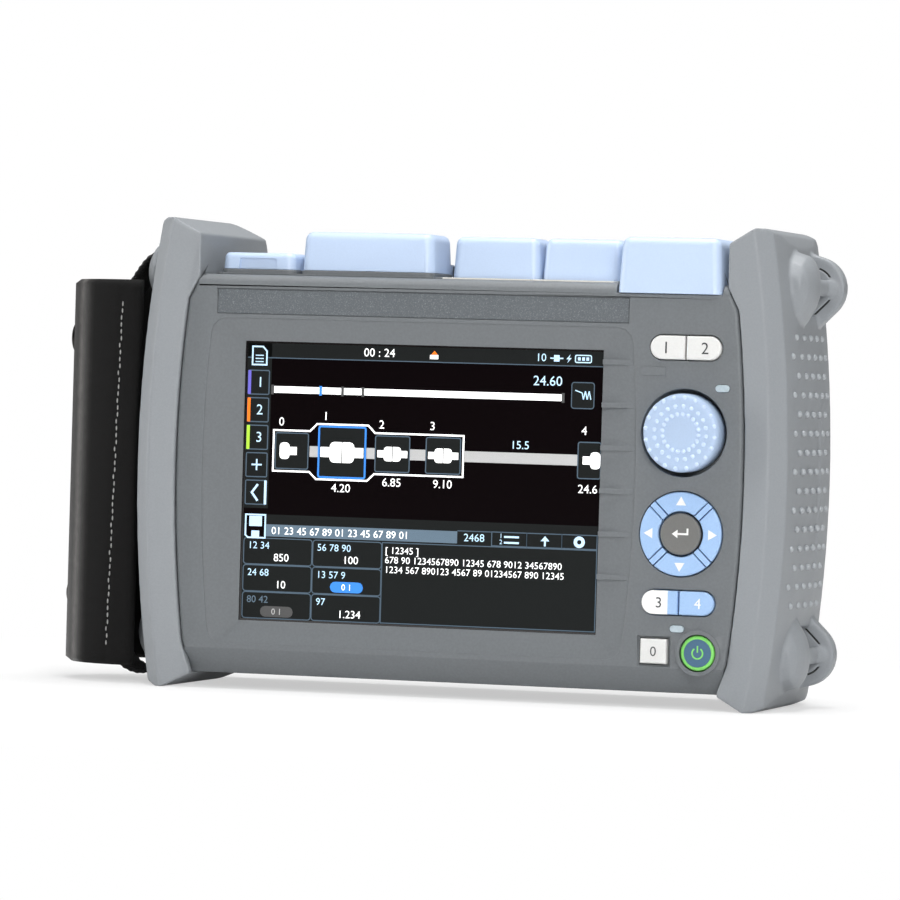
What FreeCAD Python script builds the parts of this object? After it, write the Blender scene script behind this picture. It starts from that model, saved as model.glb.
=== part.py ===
"""Handheld optical time domain reflectometer: a sprung-key field tester in two rubber side bumpers.

Frame while modelling: X to the right, Y from front to back, Z up, the case centred on X and Y,
the bumper feet on Z = 0. Every sub-part is then placed by the two frame shifts, so that the
origin ends up below the centre of the whole object. All sizes are in millimetres.
"""
import FreeCAD, Part
import Sketcher
import math
import os
import re
from types import SimpleNamespace

V = FreeCAD.Vector

# ---------------------------------------------------------------- driving sizes
SIZES = [
    # alias, value, meaning
    ("frame_shift_x", 13.15, "case centre from the origin"),
    ("frame_shift_y", 2.4, "case mid-plane from the origin"),
    # case
    ("case_half_width", 98.1, "half width of the covers inside the bumpers"),
    ("case_floor", 4.8, "underside of the covers above the feet"),
    ("case_top", 130.5, "top ledge of the covers"),
    ("front_plane", 33.0, "front face of the front cover, ahead of the mid-plane"),
    ("rear_plane", 33.0, "rear face of the rear cover, behind the mid-plane"),
    ("parting_depth", 4.0, "joint of the two covers, ahead of the mid-plane"),
    ("cover_wall", 2.6, "wall of both covers"),
    ("front_wall", 6.0, "front wall round the screen"),
    ("top_wall", 6.0, "wall below the connector ledge"),
    ("bevel_rise", 7.9, "bevel along the lower front edge, height"),
    ("bevel_run", 6.0, "bevel along the lower front edge, depth"),
    ("top_round", 4.0, "rounding of the upper front edge"),
    ("rear_bevel", 8.0, "bevel of the rear edges"),
    # bumpers
    ("bumper_height", 148.0, "overall height, feet to ears"),
    ("side_reach", "=case_half_width + 8.9", "widest point of a bumper from the centre"),
    ("barrel_radius", 450.0, "radius of the barrel line of the sides"),
    ("barrel_mid", 71.0, "height of the widest point"),
    ("side_bow", 1.6, "bow of the side face from its front and rear edges"),
    ("seam_inset", 15.1, "from the side face in to the seam"),
    ("crease_inset", 6.6, "from the side face in to the front crease"),
    ("crease_proud", 2.6, "crease ahead of the front face"),
    ("facet_width", 4.6, "slanted facet between crease and side"),
    ("lip_step", 3.4, "depth of the bumper lip over the covers"),
    ("seam_gap", 0.4, "gap along the seam"),
    ("ear_inner", "=case_half_width - 12.6", "inner face of ears and feet"),
    ("ear_ridge", "=case_half_width - 4.1", "ridge line of ears and feet"),
    ("foot_flat", 3.0, "flat strip under a foot and on an ear"),
    ("ear_slope", 4.8, "drop of the ear from ridge to inner face"),
    ("foot_slope", 4.4, "rise of the foot from ridge to inner face"),
    ("ear_corner", 11.0, "outer rounding of ears and feet"),
    ("back_round", 14.0, "rear rounding of ears and feet"),
    # strap lugs
    ("lug_radius", 10.0, "round ears that hold the strap bars"),
    ("lug_centre", "=case_half_width + 4.4", "lug centre from the case centre"),
    ("lug_high", 131.0, "height of the upper lugs"),
    ("lug_low", 16.5, "height of the lower lugs"),
    ("lug_flat_flank", 73.0, "direction in degrees in which the nearly level flank faces"),
    ("lug_steep_flank", -45.0, "direction in degrees in which the steep flank faces"),
    ("lug_gap", 18.4, "room for the strap between two ears"),
    ("lug_dome", 12.5, "depth of the domed front ear"),
    ("lug_plate", 5.6, "thickness of the rear ear"),
    ("bar_radius", 2.6, "strap bar"),
    ("bar_centre", "=lug_centre + 5.0", "strap bar from the case centre"),
    # screen
    ("window_x", -12.2, "centre of the screen window"),
    ("window_z", 65.7, "centre of the screen window"),
    ("window_width", "=2 * case_half_width - 79.6", "visible screen"),
    ("window_height", 87.9, "visible screen"),
    ("recess_left", "=case_half_width - 15.1", "left edge of the screen recess at its widest"),
    ("recess_right", "=control_x - 15.1", "right edge of the screen recess at its widest"),
    ("recess_bottom", 14.4, "lower edge of the screen recess"),
    ("recess_top", 116.7, "upper edge of the screen recess"),
    ("recess_corner", 5.0, "corner radius of the recess"),
    ("recess_depth", 2.6, "recess below the front face at the window"),
    ("recess_step", 0.6, "small step round the recess"),
    ("glass_thickness", 2.6, "touch panel"),
    ("glass_margin", 2.5, "touch panel beyond the window"),
    ("lip_thickness", 0.8, "cover lip over the touch panel edge"),
    ("screen_thickness", 6.0, "display module"),
    # finger ridges beside the screen
    ("ridge_first", 39.8, "height of the lowest finger ridge"),
    ("ridge_pitch", 13.24, "spacing of the finger ridges"),
    ("ridge_width", 1.7, "height of one ridge on the face"),
    ("ridge_count", 6, "finger ridges"),
    # name field
    ("field_left", "=case_half_width - 18.6", "blank name field, left end from the centre"),
    ("field_right", "=control_x - 18.4", "blank name field, right end from the centre"),
    ("field_z", 122.0, "centre height of the name field"),
    ("field_height", 8.0, "height of the name field"),
    ("field_depth", 0.7, "depth of the name field"),
    # controls
    ("control_x", "=case_half_width - 25.1", "centre line of the controls"),
    ("key_gap", 0.35, "clearance round a key"),
    ("key_proud", 0.9, "keys ahead of the front face"),
    ("key_travel", 0.8, "travel of a key"),
    ("key_bevel", 0.4, "bevel round the face of a key"),
    ("escape_proud", 0.5, "square key ahead of the front face"),
    ("key_flange", 0.9, "retaining flange round a key"),
    ("pill_width", 22.4, "key pair, overall width"),
    ("pill_height", 7.3, "key pair, height"),
    ("upper_pair_z", 111.0, "upper key pair"),
    ("lower_pair_z", 32.8, "lower key pair"),
    ("dial_z", 84.9, "push dial"),
    ("dial_radius", 12.1, "push dial"),
    ("dial_proud", 5.2, "push dial ahead of the front face"),
    ("dial_travel", 0.6, "push dial stroke"),
    ("well_radius", 13.5, "well of the dial"),
    ("well_depth", 5.5, "well of the dial"),
    ("pad_z", 53.9, "navigation pad"),
    ("pad_outer", 12.9, "navigation pad"),
    ("pad_inner", 7.0, "inner edge of the arrow keys"),
    ("enter_radius", 6.4, "centre key"),
    ("bridge_width", 1.8, "fixed strips between arrow keys"),
    ("escape_x", "=control_x - 7.6", "square key"),
    ("escape_z", 17.7, "square key"),
    ("escape_width", 8.4, "square key"),
    ("escape_height", 7.6, "square key"),
    ("power_x", "=control_x + 6.5", "power key"),
    ("power_z", 17.6, "power key"),
    ("power_radius", 5.4, "power key with its lit ring"),
    ("power_disc", 4.3, "dark disc of the power key"),
    ("collar_radius", 7.1, "raised collar round the power key"),
    ("collar_height", 1.1, "raised collar round the power key"),
    ("laser_led_x", "=control_x + 11.8", "emission lamp"),
    ("laser_led_z", 98.8, "emission lamp"),
    ("charge_led_x", "=control_x - 0.4", "charge lamp"),
    ("charge_led_z", 24.8, "charge lamp"),
    ("led_width", 4.6, "lamp lens"),
    ("led_height", 2.3, "lamp lens"),
    # connector covers
    ("plinth_height", 0.6, "strip below the covers"),
    ("cover_front", 27.0, "front face of the left covers ahead of the mid-plane"),
    ("small_cover_front", 22.0, "front face of the middle covers"),
    ("power_cover_front", 34.0, "front face of the right cover"),
    ("cover_back", 4.4, "rear face of all covers ahead of the mid-plane"),
    ("cover_height", 13.3, "tall covers"),
    ("small_cover_height", 12.8, "middle covers"),
    ("usb_cover_height", 6.3, "low cover of the data socket"),
    ("notch_floor", 127.4, "seat of the right cover"),
    ("cover_skin", 1.6, "wall of a cover"),
    ("cover_draft", 3.0, "draft of a cover in degrees"),
    ("cover_corner", 2.2, "bevel of the upright corners of a cover"),
    ("cover_bevel", 1.8, "bevel round the top of a cover"),
    ("cover_seat", 0.1, "gap below a shut cover"),
    ("thumb_notch", 12.4, "notch in the front of the low cover"),
    ("hinge_y", -1.0, "hinge line of the covers"),
    ("hinge_rise", 3.1, "hinge line above the ledge"),
    ("hinge_pin", 0.9, "hinge pin radius"),
    ("hinge_knuckle", 1.9, "knuckle radius"),
    ("running_gap", 0.05, "radial clearance of pins and shafts"),
    # optical ports
    ("port_y", -13.5, "centre of the optical ports"),
    ("port_side", 9.0, "square body of an optical port"),
    ("port_rise", 7.6, "top of an optical port above its seat"),
    ("port_flange", 11.0, "square flange of an optical port"),
    ("flange_rise", 1.6, "thickness of the flange"),
    ("port_mouth", 6.8, "square mouth of an optical port"),
    ("sleeve_radius", 2.1, "sleeve in the mouth of an optical port"),
    ("sleeve_rise", 6.2, "top of the sleeve above the seat"),
    ("ferrule_radius", 1.27, "bore for the ferrule"),
    # inside
    ("board_face", 24.6, "front of the key board, ahead of the mid-plane"),
    ("board_thickness", 1.6, "circuit boards"),
    ("main_board_face", 14.0, "front of the main board, ahead of the mid-plane"),
    ("boss_spread", 12.3, "bosses of the key board, either side of the controls"),
    ("boss_side", 3.4, "square bosses of the key board"),
    ("boss_low", 40.5, "lower bosses of the key board"),
    ("boss_high", 102.7, "upper bosses of the key board"),
    ("post_side", 6.0, "square posts of the main board"),
    # rear
    ("stand_width", 116.0, "fold-out stand"),
    ("stand_height", 54.0, "fold-out stand below its hinge"),
    ("stand_hinge_z", 72.0, "hinge of the stand"),
    ("stand_thickness", 3.2, "fold-out stand"),
    ("stand_pin", 1.3, "pivot of the stand"),
    ("bay_width", 104.0, "battery bay"),
    ("bay_height", 38.0, "battery bay"),
    ("bay_z", 101.0, "centre of the battery bay"),
    ("bay_depth", 22.0, "battery bay from the rear face"),
    ("door_thickness", 2.2, "battery door"),
    # hand strap
    ("strap_width", 17.6, "webbing"),
    ("strap_thickness", 1.7, "webbing"),
    ("strap_x", "=case_half_width + 32.35", "webbing inside the pad"),
    ("grip_reach", "=case_half_width + 39.7", "outer face of the grip pad from the centre"),
    ("grip_edge", "=case_half_width + 11.1", "edges of the grip pad from the centre"),
    ("grip_half_depth", 26.5, "half depth of the grip pad"),
    ("grip_thickness", 4.6, "grip pad"),
    ("grip_bottom", 5.6, "lower end of the grip pad"),
    ("grip_top", 128.2, "upper end of the grip pad"),
]

doc = FreeCAD.newDocument("reflectometer")
sheet = doc.addObject("Spreadsheet::Sheet", "Sizes")
for row, (alias, _value, meaning) in enumerate(SIZES, 1):
    sheet.set(f"A{row}", alias)
    sheet.setAlias(f"B{row}", alias)
    sheet.set(f"C{row}", meaning)
for row, (_alias, value, _meaning) in enumerate(SIZES, 1):
    sheet.set(f"B{row}", str(value))
doc.recompute()
ALIASES = {alias for alias, _value, _meaning in SIZES}
s = SimpleNamespace(**{alias: float(sheet.get(alias)) for alias in ALIASES})
NODES = []


# ---------------------------------------------------------------- helpers
def linked(text):
    """An expression in which every size name refers to its cell."""
    return re.sub(r"[a-z_]+", lambda word: f"Sizes.{word[0]}" if word[0] in ALIASES else word[0], str(text))


def bind(target, prop, text):
    target.setExpression(prop, linked(text))


def number(text):
    """The present value of an expression of sizes."""
    return float(sheet.evalExpression(linked(text)))


def node(obj, label):
    """Names a finished sub-part and places it in the frame of the whole object."""
    obj.Label = label
    placed = dict(obj.ExpressionEngine)
    for axis in "xy":
        own = placed.get(f".Placement.Base.{axis}", "0")
        obj.setExpression(f"Placement.Base.{axis}", f"{own} + Sizes.frame_shift_{axis}")
    NODES.append(obj)
    return obj


def new_body(label):
    return node(doc.addObject("PartDesign::Body", label), label)


def sketch_on(body, name, plane, level="0", across="0", up="0"):
    """A sketch on an origin plane: level is along the plane's normal (XZ faces the viewer, at -Y)."""
    sketch = body.newObject("Sketcher::SketchObject", f"{body.Name}_{name}")
    support = next(f for f in body.Origin.OriginFeatures if f.Role == f"{plane}_Plane")
    sketch.AttachmentSupport = [(support, "")]
    sketch.MapMode = "FlatFace"
    bind(sketch, "AttachmentOffset.Base.x", across)
    bind(sketch, "AttachmentOffset.Base.y", up)
    bind(sketch, "AttachmentOffset.Base.z", level)
    return sketch


def dimension(sketch, kind, refs, name, text):
    """A named driving constraint whose value comes from the sheet."""
    index = sketch.addConstraint(Sketcher.Constraint(kind, *refs, number(text)))
    sketch.renameConstraint(index, name)
    bind(sketch, f"Constraints.{name}", text)


def add_circle(sketch, across, up, radius, tag="c"):
    index = sketch.addGeometry(Part.Circle(V(number(across), number(up), 0), V(0, 0, 1), number(radius)))
    dimension(sketch, "Radius", (index,), f"{tag}_radius", radius)
    dimension(sketch, "DistanceX", (-1, 1, index, 3), f"{tag}_across", across)
    dimension(sketch, "DistanceY", (-1, 1, index, 3), f"{tag}_up", up)


def add_rectangle(sketch, across, up, width, height, corner="0", tag="r"):
    """A rectangle about its centre, with round corners unless corner is 0."""
    cx, cz = number(across), number(up)
    w, h, r = number(width) / 2, number(height) / 2, number(corner)
    quarter = r * math.sqrt(0.5)
    first = sketch.GeometryCount
    pts = [(-w + r, -h), (w - r, -h), (w, -h + r), (w, h - r),
           (w - r, h), (-w + r, h), (-w, h - r), (-w, -h + r)]
    pts = [V(cx + a, cz + b, 0) for a, b in pts]
    mids = [(w - r + quarter, -h + r - quarter), (w - r + quarter, h - r + quarter),
            (-w + r - quarter, h - r + quarter), (-w + r - quarter, -h + r - quarter)]
    for side in range(4):
        a, b, c = pts[2 * side], pts[2 * side + 1], pts[(2 * side + 2) % 8]
        sketch.addGeometry(Part.LineSegment(a, b))
        if r > 0:
            mid = V(cx + mids[side][0], cz + mids[side][1], 0)
            sketch.addGeometry(Part.Arc(b, mid, c))
    step = 2 if r > 0 else 1
    total = 4 * step
    bottom, right, top, left = (first + step * k for k in range(4))
    for k in range(total):
        here, following = first + k, first + (k + 1) % total
        end = 1 if r > 0 and k % 2 else 2
        arc_follows = r > 0 and k % 2 == 0
        start = 2 if arc_follows else 1
        if r > 0:
            end, start = arc_joint(sketch, here, following)
        kind = "Tangent" if r > 0 else "Coincident"
        sketch.addConstraint(Sketcher.Constraint(kind, here, end, following, start))
    for line in (bottom, top):
        sketch.addConstraint(Sketcher.Constraint("Horizontal", line))
    for line in (right, left):
        sketch.addConstraint(Sketcher.Constraint("Vertical", line))
    if r > 0:
        for k in (3, 5, 7):
            sketch.addConstraint(Sketcher.Constraint("Equal", first + 1, first + k))
        dimension(sketch, "Radius", (first + 1,), f"{tag}_corner", corner)
    dimension(sketch, "DistanceX", (left, 1, right, 1), f"{tag}_width", width)
    dimension(sketch, "DistanceY", (bottom, 1, top, 1), f"{tag}_height", height)
    dimension(sketch, "DistanceX", (-1, 1, left, 1), f"{tag}_across", f"({across}) - ({width}) / 2")
    dimension(sketch, "DistanceY", (-1, 1, bottom, 1), f"{tag}_up", f"({up}) - ({height}) / 2")


def arc_joint(sketch, here, following):
    """The end of one element and the start of the next that lie on the same point."""
    best = min(((sketch.getPoint(here, i) - sketch.getPoint(following, j)).Length, i, j)
               for i in (1, 2) for j in (1, 2))
    return best[1], best[2]


def add_path(sketch, points):
    """A closed outline: (u, v) is a corner, and (u, v, "arc") a point that an arc passes through."""
    corners = [V(p[0], p[1], 0) for p in points]
    is_arc = [len(p) > 2 for p in points]
    count, index, first = len(points), 0, sketch.GeometryCount
    while index < count:
        following = (index + 1) % count
        if is_arc[following]:
            last = (index + 2) % count
            sketch.addGeometry(Part.Arc(corners[index], corners[following], corners[last]))
            index += 2
        else:
            sketch.addGeometry(Part.LineSegment(corners[index], corners[following]))
            index += 1
    total = sketch.GeometryCount - first
    for k in range(total):
        here, following = first + k, first + (k + 1) % total
        end, start = arc_joint(sketch, here, following)
        sketch.addConstraint(Sketcher.Constraint("Coincident", here, end, following, start))


def feature(body, kind, name, profile, length=None, **settings):
    obj = body.newObject(f"PartDesign::{kind}", f"{body.Name}_{name}")
    obj.Profile = profile
    if length is not None:
        bind(obj, "Length", length)
    for prop, value in settings.items():
        setattr(obj, prop, value)
    doc.recompute()
    return obj


def loft(body, kind, name, profile, section):
    obj = body.newObject(f"PartDesign::{kind}", f"{body.Name}_{name}")
    obj.Profile = profile
    obj.Sections = [section]
    obj.Ruled = True
    doc.recompute()
    return obj


def revolve(body, kind, name, profile, angle=360.0, symmetric=False):
    obj = body.newObject(f"PartDesign::{kind}", f"{body.Name}_{name}")
    obj.Profile = profile
    obj.ReferenceAxis = (profile, ["V_Axis"])
    obj.Angle = angle
    obj.Midplane = symmetric
    doc.recompute()
    return obj


def dress(body, kind, name, size, pick):
    """Rounds or bevels the edges of the body's tip whose middle point satisfies pick."""
    doc.recompute()
    base = body.Tip
    edges = [f"Edge{i}" for i, edge in enumerate(base.Shape.Edges, 1) if pick(middle(edge))]
    obj = body.newObject(f"PartDesign::{kind}", f"{body.Name}_{name}")
    obj.Base = (base, edges)
    bind(obj, "Radius" if kind == "Fillet" else "Size", size)
    doc.recompute()
    return obj


def bevel_front(body, size, front):
    """Bevels the outline of a key's front face, which lies that far ahead of the mid-plane."""
    return dress(body, "Chamfer", "edge", size, lambda mid: abs(mid.y + number(front)) < 0.01)


def middle(edge):
    return edge.valueAt((edge.FirstParameter + edge.LastParameter) / 2)


def box(name, x, y, z, length, depth, height):
    obj = doc.addObject("Part::Box", name)
    for prop, text in (("Length", length), ("Width", depth), ("Height", height),
                       ("Placement.Base.x", x), ("Placement.Base.y", y), ("Placement.Base.z", z)):
        bind(obj, prop, text)
    return obj


def cylinder(name, x, y, z, radius, height, axis="Z"):
    obj = doc.addObject("Part::Cylinder", name)
    turn = {"Z": (V(0, 0, 1), 0), "X": (V(0, 1, 0), 90), "Y": (V(1, 0, 0), -90)}[axis]
    obj.Placement.Rotation = FreeCAD.Rotation(*turn)
    for prop, text in (("Radius", radius), ("Height", height),
                       ("Placement.Base.x", x), ("Placement.Base.y", y), ("Placement.Base.z", z)):
        bind(obj, prop, text)
    return obj


def fused(name, *shapes):
    obj = doc.addObject("Part::MultiFuse", name)
    obj.Shapes = list(shapes)
    return obj


def cut(name, base, *tools):
    obj = doc.addObject("Part::Cut", name)
    obj.Base = base
    obj.Tool = tools[0] if len(tools) == 1 else fused(f"{name}_tools", *tools)
    return obj


# ---------------------------------------------------------------- shared lines
def barrel(reach, height):
    """Half width at a height, of the barrel line that is widest at barrel_mid."""
    rise = height - s.barrel_mid
    return reach - s.barrel_radius + math.sqrt(s.barrel_radius**2 - rise**2)


SEAM = s.side_reach - s.seam_inset
FLARE_HIGH = s.case_top - 8.0
FLARE_LOW = s.case_floor + 10.0


def seam_side(gap, low, high):
    """Right side of the seam, upwards: straight flare, barrel arc, straight flare."""
    return [(s.ear_inner + gap, low), (s.ear_inner + gap, s.case_floor + 0.6),
            (barrel(SEAM, FLARE_LOW) + gap, FLARE_LOW), (SEAM + gap, s.barrel_mid, "arc"),
            (barrel(SEAM, FLARE_HIGH) + gap, FLARE_HIGH), (s.ear_inner + gap, s.case_top - 0.7),
            (s.ear_inner + gap, high)]


def mirrored(points):
    return [(-p[0],) + tuple(p[1:]) for p in reversed(points)]


def seam_frame(body, name, level):
    """Everything outside the seam: a large rectangle with the seam as its inner edge."""
    sketch = sketch_on(body, name, "XZ", level)
    low, high, reach = s.case_floor - 3.0, s.case_top + 3.0, s.side_reach + 25.0
    right = seam_side(0.0, low, high)
    add_path(sketch, right + mirrored(right))
    add_path(sketch, [(-reach, low - 5), (reach, low - 5), (reach, high + 5), (-reach, high + 5)])
    return sketch


# ---------------------------------------------------------------- front cover
def corner_points(x, z, r, start, steps=3):
    """Points round a corner about (x, z), anticlockwise over a quarter turn from start degrees."""
    turns = [math.radians(start + 90 * k / steps) for k in range(steps + 1)]
    return [(x + r * math.cos(a), z + r * math.sin(a)) for a in turns]


def recess_outline(sketch):
    """Barrel-sided outline of the screen recess."""
    r, low, high = s.recess_corner, s.recess_bottom, s.recess_top
    right = [barrel(s.recess_right, z) - r for z in (low + r, high - r)]
    left = [r - barrel(s.recess_left, z) for z in (low + r, high - r)]
    add_path(sketch, corner_points(right[0], low + r, r, -90) + [(s.recess_right, s.barrel_mid, "arc")]
             + corner_points(right[1], high - r, r, 0) + corner_points(left[1], high - r, r, 90)
             + [(-s.recess_left, s.barrel_mid, "arc")] + corner_points(left[0], low + r, r, 180))


def window_outline(sketch, margin, r=1.0, bow=0.05):
    """Window with small corners, element for element like the recess outline."""
    w, h = s.window_width / 2 + margin, s.window_height / 2 + margin
    x0, x1, z0, z1 = s.window_x - w, s.window_x + w, s.window_z - h, s.window_z + h
    add_path(sketch, corner_points(x1 - r, z0 + r, r, -90) + [(x1 + bow, s.window_z, "arc")]
             + corner_points(x1 - r, z1 - r, r, 0) + corner_points(x0 + r, z1 - r, r, 90)
             + [(x0 - bow, s.window_z, "arc")] + corner_points(x0 + r, z0 + r, r, 180))


def screen_recess(body):
    """Stepped, sloping recess down to the window, with the finger ridges on its right side."""
    step = sketch_on(body, "recess_step", "XZ", "front_plane")
    recess_outline(step)
    feature(body, "Pocket", "recess_step_cut", step, "recess_step")
    outer = sketch_on(body, "recess_outer", "XZ", "front_plane - recess_step")
    recess_outline(outer)
    inner = sketch_on(body, "recess_inner", "XZ", "front_plane - recess_depth")
    window_outline(inner, 0.5)
    loft(body, "SubtractiveLoft", "recess_slope", outer, inner)
    window = sketch_on(body, "window", "XZ", "front_plane")
    add_rectangle(window, "window_x", "window_z", "window_width", "window_height")
    feature(body, "Pocket", "window_cut", window, "front_wall + 1")
    rebate = sketch_on(body, "rebate", "XZ", "front_plane - front_wall")
    add_rectangle(rebate, "window_x", "window_z", "window_width + 2 * glass_margin + 0.4",
                  "window_height + 2 * glass_margin + 0.4")
    feature(body, "Pocket", "rebate_cut", rebate, "front_wall - recess_depth - lip_thickness", Reversed=True)
    ridge = sketch_on(body, "ridge", "XZ", "front_plane - recess_depth - 0.3")
    add_rectangle(ridge, "(window_x + window_width / 2 + 0.3 + recess_right) / 2 + 0.1", "ridge_first",
                  "recess_right - window_x - window_width / 2 - 0.1", "ridge_width")
    first = feature(body, "Pad", "ridge_pad", ridge, "recess_depth - recess_step + 0.2")
    pattern = body.newObject("PartDesign::LinearPattern", "ridges")
    pattern.Originals = [first]
    pattern.Direction = (ridge, ["V_Axis"])
    bind(pattern, "Length", "ridge_pitch * (ridge_count - 1)")
    bind(pattern, "Occurrences", "ridge_count")
    body.Tip = pattern
    doc.recompute()


def key_openings(body):
    """Through holes for keys, lamps and the power key, and the well of the push dial."""
    through = "cover_wall + 4"
    cup = sketch_on(body, "dial_cup", "XZ", "front_plane - well_depth - cover_wall")
    add_circle(cup, "control_x", "dial_z", "well_radius + cover_wall")
    feature(body, "Pad", "dial_cup_pad", cup, "well_depth")
    plate = sketch_on(body, "key_holes", "XZ", "front_plane")
    for tag, height in (("upper", "upper_pair_z"), ("lower", "lower_pair_z")):
        add_rectangle(plate, "control_x", height, "pill_width + 2 * key_gap", "pill_height + 2 * key_gap",
                      "pill_height / 2 + key_gap - 0.01", tag)
    add_circle(plate, "control_x", "pad_z", "pad_outer + key_gap", "pad")
    add_circle(plate, "power_x", "power_z", "power_radius + key_gap", "power")
    add_rectangle(plate, "escape_x", "escape_z", "escape_width + 2 * key_gap",
                  "escape_height + 2 * key_gap", tag="escape")
    for tag in ("laser_led", "charge_led"):
        add_rectangle(plate, f"{tag}_x", f"{tag}_z", "led_width", "led_height", "led_height / 2 - 0.01", tag)
    feature(body, "Pocket", "key_holes_cut", plate, through)
    well = sketch_on(body, "dial_well", "XZ", "front_plane")
    add_circle(well, "control_x", "dial_z", "well_radius")
    feature(body, "Pocket", "dial_well_cut", well, "well_depth")
    shaft = sketch_on(body, "dial_hole", "XZ", "front_plane")
    add_circle(shaft, "control_x", "dial_z", "4.6")
    feature(body, "Pocket", "dial_hole_cut", shaft, "well_depth + cover_wall + 1")
    seat = sketch_on(body, "escape_seat", "XZ", "front_plane")
    add_rectangle(seat, "escape_x", "escape_z", "escape_width + 2", "escape_height + 1.6")
    feature(body, "Pocket", "escape_seat_cut", seat, "1.0")
    collar = sketch_on(body, "collar", "XZ", "front_plane - 0.2")
    add_circle(collar, "power_x", "power_z", "collar_radius", "outer")
    add_circle(collar, "power_x", "power_z", "power_radius + key_gap", "inner")
    feature(body, "Pad", "collar_pad", collar, "collar_height + 0.2")
    tag_plate = sketch_on(body, "tag_plate", "XZ", "front_plane - 0.2")
    add_rectangle(tag_plate, "control_x - 10.2", "dial_z + 18.7", "8.1", "2.8")
    feature(body, "Pad", "tag_plate_pad", tag_plate, "0.5")


def inner_bosses(body):
    """Bosses that carry the key board, and square posts at the corners of the display tray."""
    bosses = sketch_on(body, "bosses", "XZ", "board_face")
    places = [(side, height) for height in ("boss_low", "boss_high") for side in "-+"]
    for i, (side, height) in enumerate(places):
        add_rectangle(bosses, f"control_x {side} boss_spread", height, "boss_side", "boss_side", tag=f"b{i}")
    feature(body, "Pad", "bosses_pad", bosses, "front_plane - cover_wall - board_face")
    posts = sketch_on(body, "posts", "XZ", "front_plane - front_wall - screen_thickness")
    for i, (right, up) in enumerate((("-", "-"), ("+", "-"), ("-", "+"), ("+", "+"))):
        add_rectangle(posts, f"window_x {right} (window_width / 2 + 8.8)",
                      f"window_z {up} (window_height / 2 + 8.8)", "5", "5", tag=f"p{i}")
    feature(body, "Pad", "posts_pad", posts, "screen_thickness + 0.1")


def cover_ledge(body):
    """Top ledge: blank name field, notch of the right cover, and the slot of the data socket."""
    field = sketch_on(body, "name_field", "XZ", "front_plane")
    add_rectangle(field, "(field_right - field_left) / 2", "field_z", "field_right + field_left",
                  "field_height")
    feature(body, "Pocket", "name_field_cut", field, "field_depth")
    notch = sketch_on(body, "notch", "XZ", "front_plane")
    add_rectangle(notch, PORTS[3][1], "notch_floor + 5", "0.3435 * case_half_width", "10")
    feature(body, "Pocket", "notch_cut", notch, "front_plane - parting_depth")
    slot = sketch_on(body, "data_slot", "XY", "case_top")
    add_rectangle(slot, SOCKET, "port_y", "14.0", "8.4")
    feature(body, "Pocket", "data_slot_cut", slot, "top_wall + 2")


# across the ledge, in shares of the case's half width
PORTS = [("one", "(-0.331 * case_half_width)"), ("two", "(0.092 * case_half_width)"),
         ("three", "(0.373 * case_half_width)"), ("four", "(0.6845 * case_half_width)")]
SOCKET = "(-0.696 * case_half_width)"


def front_cover():
    body = new_body("front_cover")
    profile = sketch_on(body, "profile", "YZ")
    front, back, low, high = -s.front_plane, -s.parting_depth, s.case_floor, s.case_top
    r = s.top_round
    k = r * (1 - math.sqrt(0.5))
    add_path(profile, [(back, low), (back, high), (front + r, high), (front + k, high - k, "arc"),
                       (front, high - r), (front, low + s.bevel_rise), (front + s.bevel_run, low)])
    feature(body, "Pad", "shell", profile, "2 * case_half_width", SideType="Symmetric")
    frame = seam_frame(body, "seam", "front_plane")
    feature(body, "Pocket", "seam_cut", frame, "lip_step")
    cavity = sketch_on(body, "cavity", "XZ", "parting_depth")
    add_rectangle(cavity, "0", "(case_floor + cover_wall + case_top - top_wall) / 2",
                  "2 * (case_half_width - cover_wall)", "case_top - top_wall - case_floor - cover_wall")
    feature(body, "Pocket", "cavity_cut", cavity, "front_plane - parting_depth - front_wall", Reversed=True)
    keys = sketch_on(body, "key_cavity", "XZ", "front_plane - front_wall")
    add_rectangle(keys, "control_x + 0.2", "65.5", "29.5", "109")
    feature(body, "Pocket", "key_cavity_cut", keys, "front_wall - cover_wall", Reversed=True)
    screen_recess(body)
    key_openings(body)
    inner_bosses(body)
    cover_ledge(body)
    return body


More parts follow.
